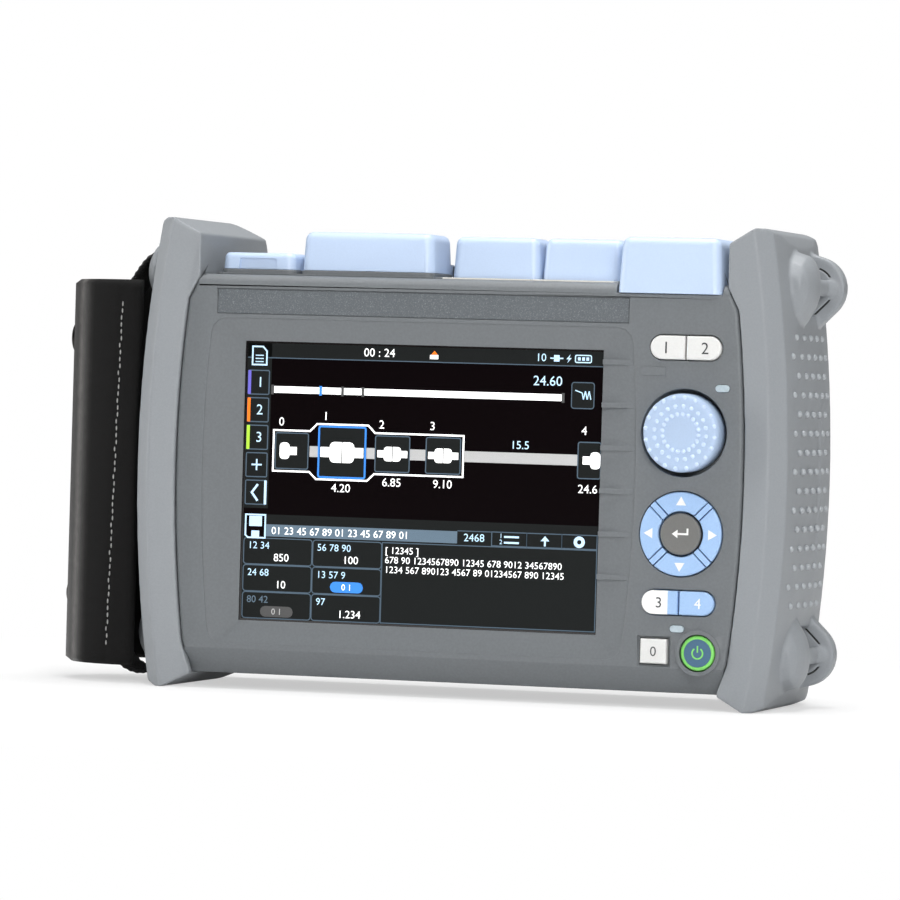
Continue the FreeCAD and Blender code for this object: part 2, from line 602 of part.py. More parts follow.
# ---------------------------------------------------------------- rear cover
def rear_cover():
    body = new_body("rear_cover")
    profile = sketch_on(body, "profile", "YZ")
    front, back, low, high, b = -s.parting_depth, s.rear_plane, s.case_floor, s.case_top, s.rear_bevel
    add_path(profile, [(front, low), (back - b, low), (back, low + b), (back, high - b), (back - b, high),
                       (front, high)])
    feature(body, "Pad", "shell", profile, "2 * case_half_width", SideType="Symmetric")
    frame = seam_frame(body, "seam", "-rear_plane")
    feature(body, "Pocket", "seam_cut", frame, "lip_step", Reversed=True)
    cavity = sketch_on(body, "cavity", "XZ", "parting_depth")
    add_rectangle(cavity, "0", "(case_floor + cover_wall + case_top - top_wall) / 2",
                  "2 * (case_half_width - cover_wall)", "case_top - top_wall - case_floor - cover_wall")
    feature(body, "Pocket", "cavity_cut", cavity, "rear_plane + parting_depth - front_wall")
    bay_box = sketch_on(body, "bay_box", "XZ", "-rear_plane + bay_depth + cover_wall")
    add_rectangle(bay_box, "0", "bay_z", "bay_width + 2 * cover_wall", "bay_height + 2 * cover_wall")
    feature(body, "Pad", "bay_box_pad", bay_box, "bay_depth + cover_wall - 1", Reversed=True)
    bay = sketch_on(body, "bay", "XZ", "-rear_plane")
    add_rectangle(bay, "0", "bay_z", "bay_width", "bay_height")
    feature(body, "Pocket", "bay_cut", bay, "bay_depth", Reversed=True)
    door = sketch_on(body, "door_seat", "XZ", "-rear_plane")
    add_rectangle(door, "0", "bay_z", "bay_width + 5", "bay_height + 5")
    feature(body, "Pocket", "door_seat_cut", door, "door_thickness + 0.1", Reversed=True)
    stand = sketch_on(body, "stand_seat", "XZ", "-rear_plane")
    add_rectangle(stand, "0", "stand_hinge_z - stand_height / 2 + 1", "stand_width + 1",
                  "stand_height + 6")
    feature(body, "Pocket", "stand_seat_cut", stand, "stand_thickness + 1.0", Reversed=True)
    pivots = sketch_on(body, "stand_pivots", "YZ", "-stand_width / 2 - 4")
    add_circle(pivots, "rear_plane - stand_thickness / 2", "stand_hinge_z - stand_pin - 0.3",
               "stand_pin + running_gap")
    feature(body, "Pocket", "stand_pivots_cut", pivots, "stand_width + 8", Reversed=True)
    posts = sketch_on(body, "board_posts", "XZ", "main_board_face - board_thickness")
    for i, (across, up) in enumerate((("-74", "30"), ("70", "30"), ("-74", "72"), ("70", "72"))):
        add_rectangle(posts, across, up, "post_side", "post_side", tag=f"p{i}")
    feature(body, "Pad", "board_posts_pad", posts,
            "rear_plane - front_wall + main_board_face - board_thickness + 0.1", Reversed=True)


# ---------------------------------------------------------------- bumpers
def bumper(label, side):
    """Rubber side guard: one section swept along the barrel line, with ears, feet and strap lugs."""
    body = new_body(label)
    swing = s.side_reach - s.barrel_radius
    section = sketch_on(body, "section", "XY", "barrel_mid", across=f"{side} * (side_reach - barrel_radius)")
    inner = SEAM + s.seam_gap
    crease = s.side_reach - s.crease_inset
    facet = s.facet_width * math.sqrt(0.5)
    edge, full = s.side_reach - s.side_bow, s.side_reach
    near = full - s.side_bow * 0.2
    outline = [(inner, -s.front_plane), (crease, -s.front_plane - s.crease_proud),
               (edge, -s.front_plane - s.crease_proud + facet + 1.4), (near, -18.0), (full, -8.0), (full, 5.0),
               (near, 15.0), (edge, s.rear_plane - 4.5), (crease, s.rear_plane + 0.4), (inner, s.rear_plane)]
    add_path(section, [(side * (p[0] - swing),) + p[1:] for p in outline])
    sweep = math.degrees(math.asin((s.bumper_height / 2 + 8) / s.barrel_radius)) * 2
    revolve(body, "Revolution", "guard", section, sweep, symmetric=True)
    ends = sketch_on(body, "ends", "XZ", "front_plane")
    top, ridge, slope = s.bumper_height, s.ear_ridge, s.ear_slope
    flank = ridge + s.foot_flat
    ear = [(barrel(SEAM, FLARE_HIGH) + s.seam_gap, FLARE_HIGH), (flank, FLARE_HIGH), (flank, top), (ridge, top),
           (s.ear_inner, top - slope), (s.ear_inner, s.case_top - 0.7)]
    foot = [(barrel(SEAM, FLARE_LOW) + s.seam_gap, FLARE_LOW), (s.ear_inner, s.case_floor + 0.6),
            (s.ear_inner, s.foot_slope), (ridge, 0.0), (flank, 0.0), (flank, FLARE_LOW)]
    for outline in (ear, foot):
        add_path(ends, [(side * p[0], p[1]) for p in outline])
    feature(body, "Pad", "ends_pad", ends, "front_plane + rear_plane", Reversed=True)
    trim_ends(body, side)
    strap_lugs(body, side)
    core = sketch_on(body, "core", "YZ", "0")
    low, high = s.case_floor, s.case_top
    front, back = -s.front_plane + s.lip_step, s.rear_plane - s.lip_step
    add_path(core, [(front, low), (back, low), (back, high), (front, high)])
    feature(body, "Pocket", "core_cut", core, "case_half_width", Reversed=side > 0)
    return body


def trim_ends(body, side):
    """Cuts the swept guard to its ear and foot outline and rounds it off at the back."""
    trim = sketch_on(body, "trim", "XZ", "front_plane + 10")
    top, ridge, corner = s.bumper_height, s.ear_ridge, s.ear_corner
    flat = ridge + s.foot_flat
    inside, outside = s.ear_inner - 25, s.side_reach + 45
    rounds = []
    for level, end in ((corner, 0.0), (top - corner, top)):
        run = barrel(s.side_reach, level) - flat
        turns = [math.radians(30 * k) for k in range(4)]
        rounds.append([(flat + run * math.cos(a), level + (end - level) * math.sin(a)) for a in turns])
    keep = [(inside, s.foot_slope), (s.ear_inner, s.foot_slope), (ridge, 0)] + rounds[0][::-1]
    keep += [(outside, corner), (outside, top - corner)] + rounds[1]
    keep += [(ridge, top), (s.ear_inner, top - s.ear_slope), (inside, top - s.ear_slope)]
    add_path(trim, [(side * p[0], p[1]) for p in keep])
    near, far = inside - 10, outside + 10
    add_path(trim, [(side * near, -30), (side * far, -30), (side * far, top + 30), (side * near, top + 30)])
    feature(body, "Pocket", "trim_cut", trim, "front_plane + rear_plane + 30")
    back = sketch_on(body, "back_round", "YZ", "0")
    r, rear = s.back_round, s.rear_plane + 1.0
    k = r * (1 - math.sqrt(0.5))
    for outer, sign in ((top, 1), (0.0, -1)):
        add_path(back, [(rear - r, outer), (rear - k, outer - sign * k, "arc"), (rear, outer - sign * r),
                        (rear + 5, outer - sign * r), (rear + 5, outer + sign * 5), (rear - r, outer + sign * 5)])
    feature(body, "Pocket", "back_round_cut", back, "300", SideType="Symmetric")


def lug_outline(body, name, level, side, height, radius):
    """Outline of a strap ear: round outside, with one flat and one steep flank towards the guard."""
    sketch = sketch_on(body, name, "XZ", level)
    up = 1 if height > s.barrel_mid else -1
    root = s.case_half_width + 1.4
    flat, steep = (math.radians(a) for a in (s.lug_flat_flank, s.lug_steep_flank))
    rim = [(s.lug_centre + radius * math.cos(a), height + up * radius * math.sin(a))
           for a in (flat, (flat + steep) / 2, steep)]
    corners = [(root, z + up * (x - root) / math.tan(a)) for (x, z), a in ((rim[0], flat), (rim[2], steep))]
    path = [rim[0], rim[1] + ("arc",), rim[2], corners[1], corners[0]]
    add_path(sketch, [(side * p[0],) + p[1:] for p in path])
    return sketch


def strap_lugs(body, side):
    """Two lugs: a domed front ear, a flat rear ear and the bar between them."""
    ear = "lug_gap / 2"
    step = (0.0, 2.0, 0.45 * s.lug_dome, 0.8 * s.lug_dome, s.lug_dome)
    shares = (1.0, 1.0, 0.93, 0.7, 0.3)
    for tag, height in (("high", s.lug_high), ("low", s.lug_low)):
        outlines = [lug_outline(body, f"{tag}_front_{k}", f"{ear} + {depth}", side, height,
                                s.lug_radius * share) for k, (depth, share) in enumerate(zip(step, shares))]
        feature(body, "Pad", f"{tag}_front_ear", outlines[0], "2.0")
        for k, (near, far) in enumerate(zip(outlines[1:], outlines[2:])):
            loft(body, "AdditiveLoft", f"{tag}_dome_{k}", near, far)
        rear = lug_outline(body, f"{tag}_rear", f"-{ear}", side, height, s.lug_radius)
        feature(body, "Pad", f"{tag}_rear_ear", rear, "lug_plate", Reversed=True)
        relief = sketch_on(body, f"{tag}_relief", "XZ", ear)
        add_rectangle(relief, f"{side} * (lug_centre + 6.0)", f"lug_{tag}",
                      "2 * (lug_centre + 6.0 - case_half_width - 2.4)", "lug_radius * 1.8")
        feature(body, "Pocket", f"{tag}_relief_cut", relief, "lug_gap")
        bar = sketch_on(body, f"{tag}_bar", "XZ", f"{ear} + 1")
        add_circle(bar, f"{side} * bar_centre", f"lug_{tag}", "bar_radius")
        feature(body, "Pad", f"{tag}_bar_pad", bar, "lug_gap + lug_plate * 0.5 + 1", Reversed=True)


# ---------------------------------------------------------------- display and inner parts
def display():
    glass_y = "-front_plane + recess_depth + lip_thickness"
    glass = box("glass", "window_x - window_width / 2 - glass_margin", glass_y,
                "window_z - window_height / 2 - glass_margin", "window_width + 2 * glass_margin",
                "glass_thickness", "window_height + 2 * glass_margin")
    node(glass, "touch_panel")
    lcd_y = f"{glass_y} + glass_thickness"
    lcd = box("lcd", "window_x - window_width / 2 - 6", lcd_y, "window_z - window_height / 2 - 5",
              "window_width + 12", "screen_thickness", "window_height + 10")
    node(lcd, "display_module")
    tray_y = f"{lcd_y} + screen_thickness"
    plate = box("tray_plate", "window_x - window_width / 2 - 8", tray_y, "window_z - window_height / 2 - 8",
                "window_width + 16", "1.2", "window_height + 16")
    opening = box("tray_opening", "window_x - 30", f"{tray_y} - 1", "window_z - 20", "60", "4", "40")
    node(cut("tray", plate, opening), "display_tray")


def boards():
    """Circuit boards and the optical engine that fill the case."""
    rear_face = "board_thickness - main_board_face"
    main = box("main", "-80", "-main_board_face", "12", "156", "board_thickness", "108")
    chips = [box(f"chip{i}", str(x), rear_face, str(z), str(w), "2.2", str(w))
             for i, (x, z, w) in enumerate([(-58, 40, 22), (-20, 34, 16), (20, 56, 24), (-50, 68, 14)])]
    node(fused("main_fused", main, *chips), "main_board")
    keys = box("keys", "control_x - 14", "-board_face", "10", "30", "board_thickness", "108")
    node(cut("keys_cut", keys, box("keys_slot", "control_x - 6.5", "-26", "dial_z - 6.5", "13", "6", "13")),
         "key_board")
    engine = box("engine", "-70", rear_face, "88", "140", "19", "34")
    node(engine, "optical_engine")


KEYS = [
    # label, centre x, centre z of the switch below each key
    ("real_time_key", "control_x - pill_width / 4", "upper_pair_z"),
    ("average_key", "control_x + pill_width / 4", "upper_pair_z"),
    ("menu_key", "control_x - pill_width / 4", "lower_pair_z"),
    ("setup_key", "control_x + pill_width / 4", "lower_pair_z"),
    ("escape_key", "escape_x", "escape_z"),
    ("power_key", "power_x", "power_z"),
    ("enter_key", "control_x", "pad_z"),
    ("up_key", "control_x", "pad_z + (pad_outer + pad_inner) / 2"),
    ("down_key", "control_x", "pad_z - (pad_outer + pad_inner) / 2"),
    ("left_key", "control_x - (pad_outer + pad_inner) / 2", "pad_z"),
    ("right_key", "control_x + (pad_outer + pad_inner) / 2", "pad_z"),
]
SWITCH_FACE = "(board_face + 1.6)"


def key_switches():
    """One dome switch under every key, all on the key board."""
    domes = [box(f"dome_{label}", f"{x} - 1.9", f"-{SWITCH_FACE}", f"{z} - 1.9", "3.8", "1.6", "3.8")
             for label, x, z in KEYS]
    node(fused("domes", *domes), "key_switches")


def key_stem(body, across, up):
    """Stem from the back of the key to just above its switch."""
    stem = sketch_on(body, "stem", "XZ", f"{SWITCH_FACE} + key_travel")
    add_rectangle(stem, across, up, "2.4", "2.4")
    feature(body, "Pad", "stem_pad", stem, f"front_plane - cover_wall - {SWITCH_FACE} - key_travel")


FLANGE_LEVEL = "front_plane - cover_wall - 0.2"


# ---------------------------------------------------------------- keys
def half_pill(body, name, level, side, height_z):
    """One half of a pill: round outside end, straight inner end."""
    sketch = sketch_on(body, name, "XZ", level)
    half = s.pill_width / 2
    r = s.pill_height / 2
    inner = 0.25
    x, z = s.control_x, number(height_z)
    add_path(sketch, [(x + side * inner, z - r), (x + side * (half - r), z - r), (x + side * half, z, "arc"),
                      (x + side * (half - r), z + r), (x + side * inner, z + r)])
    return sketch


def pair_key(label, side, height_z):
    body = new_body(label)
    level = FLANGE_LEVEL
    cap = half_pill(body, "cap", level, side, height_z)
    feature(body, "Pad", "cap_pad", cap, "cover_wall + 0.2 + key_proud")
    bevel_front(body, "key_bevel", "front_plane + key_proud")
    flange = sketch_on(body, "flange", "XZ", f"{level} - 0.8")
    add_rectangle(flange, f"control_x + {side} * (pill_width / 4 + key_flange / 2 + 0.1)", height_z,
                  "pill_width / 2 + key_flange - 0.3", "pill_height + 2 * key_flange")
    feature(body, "Pad", "flange_pad", flange, "0.8")
    key_stem(body, f"control_x + {side} * pill_width / 4", height_z)
    return body


def escape_key():
    body = new_body("escape_key")
    cap = sketch_on(body, "cap", "XZ", FLANGE_LEVEL)
    add_rectangle(cap, "escape_x", "escape_z", "escape_width", "escape_height")
    feature(body, "Pad", "cap_pad", cap, "cover_wall + 0.2 + escape_proud")
    bevel_front(body, "key_bevel", "front_plane + escape_proud")
    flange = sketch_on(body, "flange", "XZ", f"{FLANGE_LEVEL} - 0.8")
    add_rectangle(flange, "escape_x", "escape_z", "escape_width + 2 * key_flange",
                  "escape_height + 2 * key_flange")
    feature(body, "Pad", "flange_pad", flange, "0.8")
    key_stem(body, "escape_x", "escape_z")


def enter_key():
    body = new_body("enter_key")
    cap = sketch_on(body, "cap", "XZ", FLANGE_LEVEL)
    add_circle(cap, "control_x", "pad_z", "enter_radius")
    feature(body, "Pad", "cap_pad", cap, "cover_wall + 0.2 + key_proud")
    bevel_front(body, "key_bevel", "front_plane + key_proud")
    key_stem(body, "control_x", "pad_z")


def arrow_key(label, turn):
    """A quarter of the navigation ring, with edges parallel to the fixed strips beside it."""
    body = new_body(label)
    edge_gap = s.bridge_width / 2 + 0.3
    cap = sketch_on(body, "cap", "XZ", FLANGE_LEVEL)
    points = []
    for radius, order in ((s.pad_inner, 1), (s.pad_outer, -1)):
        swing = 45.0 - math.degrees(math.asin(edge_gap / radius))
        for angle in (-swing * order, 0.0, swing * order):
            a = math.radians(turn + angle)
            point = (s.control_x + radius * math.cos(a), s.pad_z + radius * math.sin(a))
            points.append(point + ("arc",) if angle == 0.0 else point)
    add_path(cap, points)
    feature(body, "Pad", "cap_pad", cap, "cover_wall + 0.2 + key_proud * 0.8")
    bevel_front(body, "key_bevel", "front_plane + key_proud * 0.8")
    middle_radius = "(pad_outer + pad_inner) / 2"
    key_stem(body, f"control_x + {middle_radius} * {round(math.cos(math.radians(turn)))}",
             f"pad_z + {middle_radius} * {round(math.sin(math.radians(turn)))}")


def navigation_bridge():
    """Fixed ring behind the arrow keys, with the four strips that stand up between them."""
    body = new_body("navigation_bridge")
    back = "front_plane - cover_wall - 3.2"
    ring = sketch_on(body, "ring", "XZ", back)
    add_circle(ring, "control_x", "pad_z", "pad_outer + 1.6", "outer")
    add_rectangle(ring, "control_x", "pad_z", "5", "5", tag="inner")
    for i, (dx, dz) in enumerate(((1, 0), (0, 1), (-1, 0), (0, -1))):
        middle_radius = "(pad_outer + pad_inner) / 2"
        add_rectangle(ring, f"control_x + {dx} * {middle_radius}", f"pad_z + {dz} * {middle_radius}",
                      "3.2", "3.2", tag=f"s{i}")
    feature(body, "Pad", "ring_pad", ring, "1.2")
    rim = sketch_on(body, "rim", "XZ", f"{back} + 1.2")
    add_circle(rim, "control_x", "pad_z", "pad_outer + 1.6", "outer")
    add_circle(rim, "control_x", "pad_z", "pad_outer + 0.4", "inner")
    feature(body, "Pad", "rim_pad", rim, "2.0")
    strips = sketch_on(body, "strips", "XZ", f"{back} + 1.2")
    half = s.bridge_width / 2
    for turn in (45, 135, 225, 315):
        a = math.radians(turn)
        along, across = V(math.cos(a), math.sin(a), 0), V(-math.sin(a), math.cos(a), 0)
        centre = V(s.control_x, s.pad_z, 0)
        corners = [centre + along * radius + across * offset for radius, offset in
                   ((s.pad_inner, -half), (s.pad_outer, -half), (s.pad_outer, half), (s.pad_inner, half))]
        add_path(strips, [(c.x, c.y) for c in corners])
    feature(body, "Pad", "strips_pad", strips, "cover_wall + 2 + key_proud * 0.6")


def power_key():
    """Clear ring that lights up, with the dark disc pressed into it."""
    body = new_body("power_ring")
    ring = sketch_on(body, "ring", "XZ", FLANGE_LEVEL)
    add_circle(ring, "power_x", "power_z", "power_radius")
    feature(body, "Pad", "ring_pad", ring, "cover_wall + 0.2 + collar_height * 0.7")
    bevel_front(body, "key_bevel", "front_plane + collar_height * 0.7")
    seat = sketch_on(body, "seat", "XZ", "front_plane + collar_height")
    add_circle(seat, "power_x", "power_z", "power_disc")
    feature(body, "Pocket", "seat_cut", seat, "collar_height + 1")
    flange = sketch_on(body, "flange", "XZ", f"{FLANGE_LEVEL} - 0.8")
    across = "2 * power_radius + key_flange"
    add_rectangle(flange, "power_x", "power_z", across, across)
    feature(body, "Pad", "flange_pad", flange, "0.8")
    key_stem(body, "power_x", "power_z")
    disc = new_body("power_disc")
    face = sketch_on(disc, "face", "XZ", "front_plane - 1")
    add_circle(face, "power_x", "power_z", "power_disc")
    feature(disc, "Pad", "face_pad", face, "1 + collar_height * 0.7")


# ---------------------------------------------------------------- push dial
def push_dial():
    """Encoder on the key board, its sprung plunger, the shaft and the large dished knob."""
    level = "board_face"
    encoder = new_body("encoder_housing")
    block = sketch_on(encoder, "block", "XZ", "18")
    add_rectangle(block, "control_x", "dial_z", "13", "13")
    feature(encoder, "Pad", "block_pad", block, f"{level} - 18")
    chamber = sketch_on(encoder, "chamber", "XZ", level)
    add_circle(chamber, "control_x", "dial_z", "4.3")
    feature(encoder, "Pocket", "chamber_cut", chamber, "3")
    plunger = new_body("encoder_plunger")
    ring = sketch_on(plunger, "ring", "XZ", f"{level} - 1.6")
    add_circle(ring, "control_x", "dial_z", "4.0", "outer")
    add_circle(ring, "control_x", "dial_z", "3.0 + running_gap", "inner")
    feature(plunger, "Pad", "ring_pad", ring, "2.6")
    shaft = new_body("dial_shaft")
    rod = sketch_on(shaft, "rod", "XZ", f"{level} - 1.8")
    add_circle(rod, "control_x", "dial_z", "3.0")
    feature(shaft, "Pad", "rod_pad", rod, f"front_plane + dial_proud - 4 - {level} + 1.8")
    knob = new_body("dial_knob")
    profile = sketch_on(knob, "profile", "XY", "dial_z", across="control_x")
    r, front = s.dial_radius, -s.front_plane - s.dial_proud
    back = -s.front_plane + s.well_depth - s.dial_travel - 0.4
    add_path(profile, [
        (0, front + 0.5), (r * 0.36, front + 0.25), (r - 3.0, front), (r - 1.1, front + 0.6),
        (r - 0.2, front + 1.6), (r, front + 3.0), (r, back), (3.0, back), (3.0, front + 4.0), (0, front + 4.0)])
    revolve(knob, "Revolution", "turned", profile)


# ---------------------------------------------------------------- connector covers
HINGE_Z = "case_top + hinge_rise"
COVERS = [
    # label, left and right end in shares of the case's half width, front, base height, height;
    # the last cover ends at a set distance from the guard
    ("usb_cover", -0.819, -0.574, "cover_front", "case_top + plinth_height + cover_seat", "usb_cover_height"),
    ("port_cover_one", -0.552, -0.109, "cover_front", "case_top + plinth_height + cover_seat",
     "cover_height"),
    ("port_cover_two", -0.061, 0.227, "small_cover_front", "case_top + plinth_height + cover_seat",
     "small_cover_height"),
    ("port_cover_three", 0.236, 0.502, "small_cover_front", "case_top + plinth_height + cover_seat",
     "small_cover_height"),
    ("power_meter_cover", 0.517, 1 - 14.52 / s.case_half_width, "power_cover_front", "notch_floor + cover_seat",
     "cover_height + plinth_height + 3.3"),
]


def connector_cover(label, left, right, front, base, height):
    """Hollow flip cover with drafted sides, bevelled edges and one long hinge knuckle at the back."""
    body = new_body(label)
    centre, width = f"{(left + right) / 2} * case_half_width", f"({right - left:.4f} * case_half_width)"
    left = f"{left} * case_half_width"
    depth = f"({front} - cover_back)"
    middle_y = f"-({front} + cover_back) / 2"
    low = number(base)
    outer = sketch_on(body, "outer", "XY", base)
    add_rectangle(outer, centre, middle_y, width, depth)
    pad = feature(body, "Pad", "shell", outer, height)
    bind(pad, "TaperAngle", "-cover_draft")
    top = low + number(height)
    dress(body, "Chamfer", "corner_edge", "cover_corner", lambda mid: low + 0.1 < mid.z < top - 0.1)
    dress(body, "Chamfer", "top_edge", "cover_bevel", lambda mid: abs(mid.z - top) < 0.01)
    inner = sketch_on(body, "inner", "XY", base)
    add_rectangle(inner, centre, middle_y, f"{width} - 2 * cover_skin", f"{depth} - 2 * cover_skin")
    hollow = feature(body, "Pocket", "hollow", inner, f"{height} - cover_skin", Reversed=True)
    bind(hollow, "TaperAngle", "-cover_draft")
    hinge_z, hinge_y, r = number(HINGE_Z), s.hinge_y, s.hinge_knuckle
    wall = -s.cover_back - 1.2
    knuckle = sketch_on(body, "knuckle", "YZ", f"{left} + 1")
    add_path(knuckle, [(wall, hinge_z - r), (hinge_y, hinge_z - r), (hinge_y + r, hinge_z, "arc"),
                       (hinge_y, hinge_z + r), (wall, hinge_z + r)])
    feature(body, "Pad", "knuckle_pad", knuckle, f"{width} - 2")
    eye = sketch_on(body, "eye", "YZ", left)
    add_circle(eye, "hinge_y", HINGE_Z, "hinge_pin + running_gap")
    feature(body, "Pocket", "eye_cut", eye, width, Reversed=True)
    return body


def thumb_notch(body):
    """Shallow notch in the front of the low cover, where a thumb lifts it."""
    notch = sketch_on(body, "notch", "XZ", "cover_front")
    add_rectangle(notch, SOCKET, "case_top + plinth_height + usb_cover_height * 0.45", "thumb_notch",
                  "usb_cover_height * 0.5")
    feature(body, "Pocket", "notch_cut", notch, "cover_skin * 0.6")


def hinge_hardware():
    """Posts between the covers, and the pin through all knuckles."""
    half = s.case_half_width
    ends = [(cover[1] * half + 1, cover[2] * half - 1) for cover in COVERS]
    gaps = [(ends[0][0] - 2.0, ends[0][0] - 0.2), (ends[1][1] + 0.2, ends[2][0] - 0.2),
            (ends[-1][1] + 0.2, ends[-1][1] + 2.0)]
    posts = [box(f"post{i}", str(start), "hinge_y - hinge_knuckle + 0.4", "case_top", str(end - start),
                 "2 * hinge_knuckle - 0.8", "hinge_rise + hinge_knuckle - 0.4")
             for i, (start, end) in enumerate(gaps)]
    first, last = gaps[0][0], gaps[-1][1]
    hole = cylinder("rail_hole", str(first), "hinge_y", HINGE_Z, "hinge_pin", str(last - first), "X")
    node(cut("rail", fused("rail_posts", *posts), hole), "hinge_rail")
    pin = cylinder("pin", str(first), "hinge_y", HINGE_Z, "hinge_pin", str(last - first), "X")
    node(pin, "hinge_pin_rod")


def ledge_parts():
    """Strip under the covers, blank label plates, optical ports and the data socket."""
    back = "cover_back + 2.4"
    left = box("plinth_left", "-0.827 * case_half_width", "-cover_front - 0.6", "case_top",
               "0.723 * case_half_width", f"cover_front + 0.6 - ({back})", "plinth_height")
    right = box("plinth_right", "-0.104 * case_half_width", "-small_cover_front - 0.2", "case_top",
                "0.614 * case_half_width", f"small_cover_front + 0.2 - ({back})", "plinth_height")
    half = "(port_flange / 2 + 0.2)"
    holes = [box(f"plinth_hole_{tag}", f"{across} - {half}", f"port_y - {half}", "case_top - 1",
                 "port_flange + 0.4", "port_flange + 0.4", "6") for tag, across in PORTS[:3]]
    slot = box("plinth_slot", f"{SOCKET} - 8.4", "port_y - 5.4", "case_top - 1", "16.8", "10.8", "6")
    node(cut("plinth", fused("plinth_plates", left, right), *holes, slot), "port_plinth")
    for tag, start, width in (("two", -0.071, 0.295), ("three", 0.229, 0.262)):
        plate = box(f"label_{tag}", f"{start} * case_half_width", "-small_cover_front - 6.8", "case_top",
                    f"{width} * case_half_width", "6.0", "0.5")
        node(plate, f"label_plate_{tag}")
    for tag, across in PORTS:
        optical_port(tag, across, "notch_floor" if tag == "four" else "case_top")
    shell = box("data_shell", f"{SOCKET} - 6.6", "port_y - 3.9", "case_top - top_wall + 1", "13.2", "7.8",
                "top_wall + 0.4")
    flange = box("data_flange", f"{SOCKET} - 8", "port_y - 5", "case_top", "16", "10", "0.8")
    inside = box("data_inside", f"{SOCKET} - 5.9", "port_y - 3.2", "case_top - top_wall + 2", "11.8", "6.4",
                 "top_wall + 2")
    tongue = box("data_tongue", f"{SOCKET} - 5.9", "port_y + 1.2", "case_top - top_wall + 1.5", "11.8", "2.0",
                 "top_wall - 1.6")
    can = cut("data_can", fused("data_body", shell, flange), inside)
    node(fused("data_socket_parts", can, tongue), "data_socket")


def optical_port(tag, across, seat):
    """Square body on a flange, with a square mouth round the sleeve that takes the ferrule."""
    flange = box(f"flange_{tag}", f"{across} - port_flange / 2", "port_y - port_flange / 2", seat,
                 "port_flange", "port_flange", "flange_rise")
    shell = box(f"shell_{tag}", f"{across} - port_side / 2", "port_y - port_side / 2", seat, "port_side",
                "port_side", "port_rise")
    mouth = box(f"mouth_{tag}", f"{across} - port_mouth / 2", "port_y - port_mouth / 2",
                f"{seat} + flange_rise", "port_mouth", "port_mouth", "port_rise")
    sleeve = cylinder(f"sleeve_{tag}", across, "port_y", f"{seat} + 1", "sleeve_radius", "sleeve_rise - 1")
    bore = cylinder(f"bore_{tag}", across, "port_y", f"{seat} + 0.8", "ferrule_radius", "port_rise")
    body = cut(f"port_{tag}_body", fused(f"port_{tag}_outer", flange, shell), mouth)
    node(cut(f"port_{tag}", fused(f"port_{tag}_inner", body, sleeve), bore), f"optical_port_{tag}")


# ---------------------------------------------------------------- small trim
def trim_parts():
    """Blank name plate and the two lamp lenses."""
    plate = new_body("name_plate")
    face = sketch_on(plate, "face", "XZ", "front_plane - field_depth")
    add_rectangle(face, "(field_right - field_left) / 2", "field_z", "field_right + field_left - 0.4",
                  "field_height - 0.4")
    feature(plate, "Pad", "face_pad", face, "field_depth - 0.3")
    for tag in ("laser", "charge"):
        lens = new_body(f"{tag}_lens")
        shape = sketch_on(lens, "shape", "XZ", "front_plane - cover_wall")
        add_rectangle(shape, f"{tag}_led_x", f"{tag}_led_z", "led_width - 0.1", "led_height - 0.1",
                      "led_height / 2 - 0.06")
        feature(lens, "Pad", "shape_pad", shape, "cover_wall + 0.25")


# ---------------------------------------------------------------- rear parts
def rear_parts():
    """Battery with its lift-off door, and the fold-out stand with its pivots."""
    door = new_body("battery_door")
    face = sketch_on(door, "face", "XZ", "-rear_plane + door_thickness")
    add_rectangle(face, "0", "bay_z", "bay_width + 4.4", "bay_height + 4.4")
    feature(door, "Pad", "face_pad", face, "door_thickness", Reversed=True)
    grip = sketch_on(door, "grip", "XZ", "-rear_plane")
    add_rectangle(grip, "0", "bay_z + bay_height / 2 - 6", "24", "5")
    feature(door, "Pocket", "grip_cut", grip, "1.0", Reversed=True)
    battery = box("battery", "-bay_width / 2 + 1", "rear_plane - bay_depth", "bay_z - bay_height / 2",
                  "bay_width - 2", "bay_depth - door_thickness - 1.5", "bay_height - 2")
    node(battery, "battery_pack")
    stand = new_body("tilt_stand")
    leaf = sketch_on(stand, "leaf", "XZ", "-rear_plane + stand_thickness")
    add_rectangle(leaf, "0", "stand_hinge_z - stand_height / 2", "stand_width", "stand_height", tag="leaf")
    feature(stand, "Pad", "leaf_pad", leaf, "stand_thickness", Reversed=True)
    panel = sketch_on(stand, "panel", "XZ", "-rear_plane")
    add_rectangle(panel, "0", "stand_hinge_z - stand_height / 2", "stand_width - 16", "stand_height - 16")
    feature(stand, "Pocket", "panel_cut", panel, "stand_thickness * 0.4", Reversed=True)
    for tag, start in (("left", "-stand_width / 2 - 3"), ("right", "stand_width / 2 - 1")):
        pivot = sketch_on(stand, f"{tag}_pivot", "YZ", start)
        add_circle(pivot, "rear_plane - stand_thickness / 2", "stand_hinge_z - stand_pin - 0.3", "stand_pin")
        feature(stand, "Pad", f"{tag}_pivot_pad", pivot, "4")


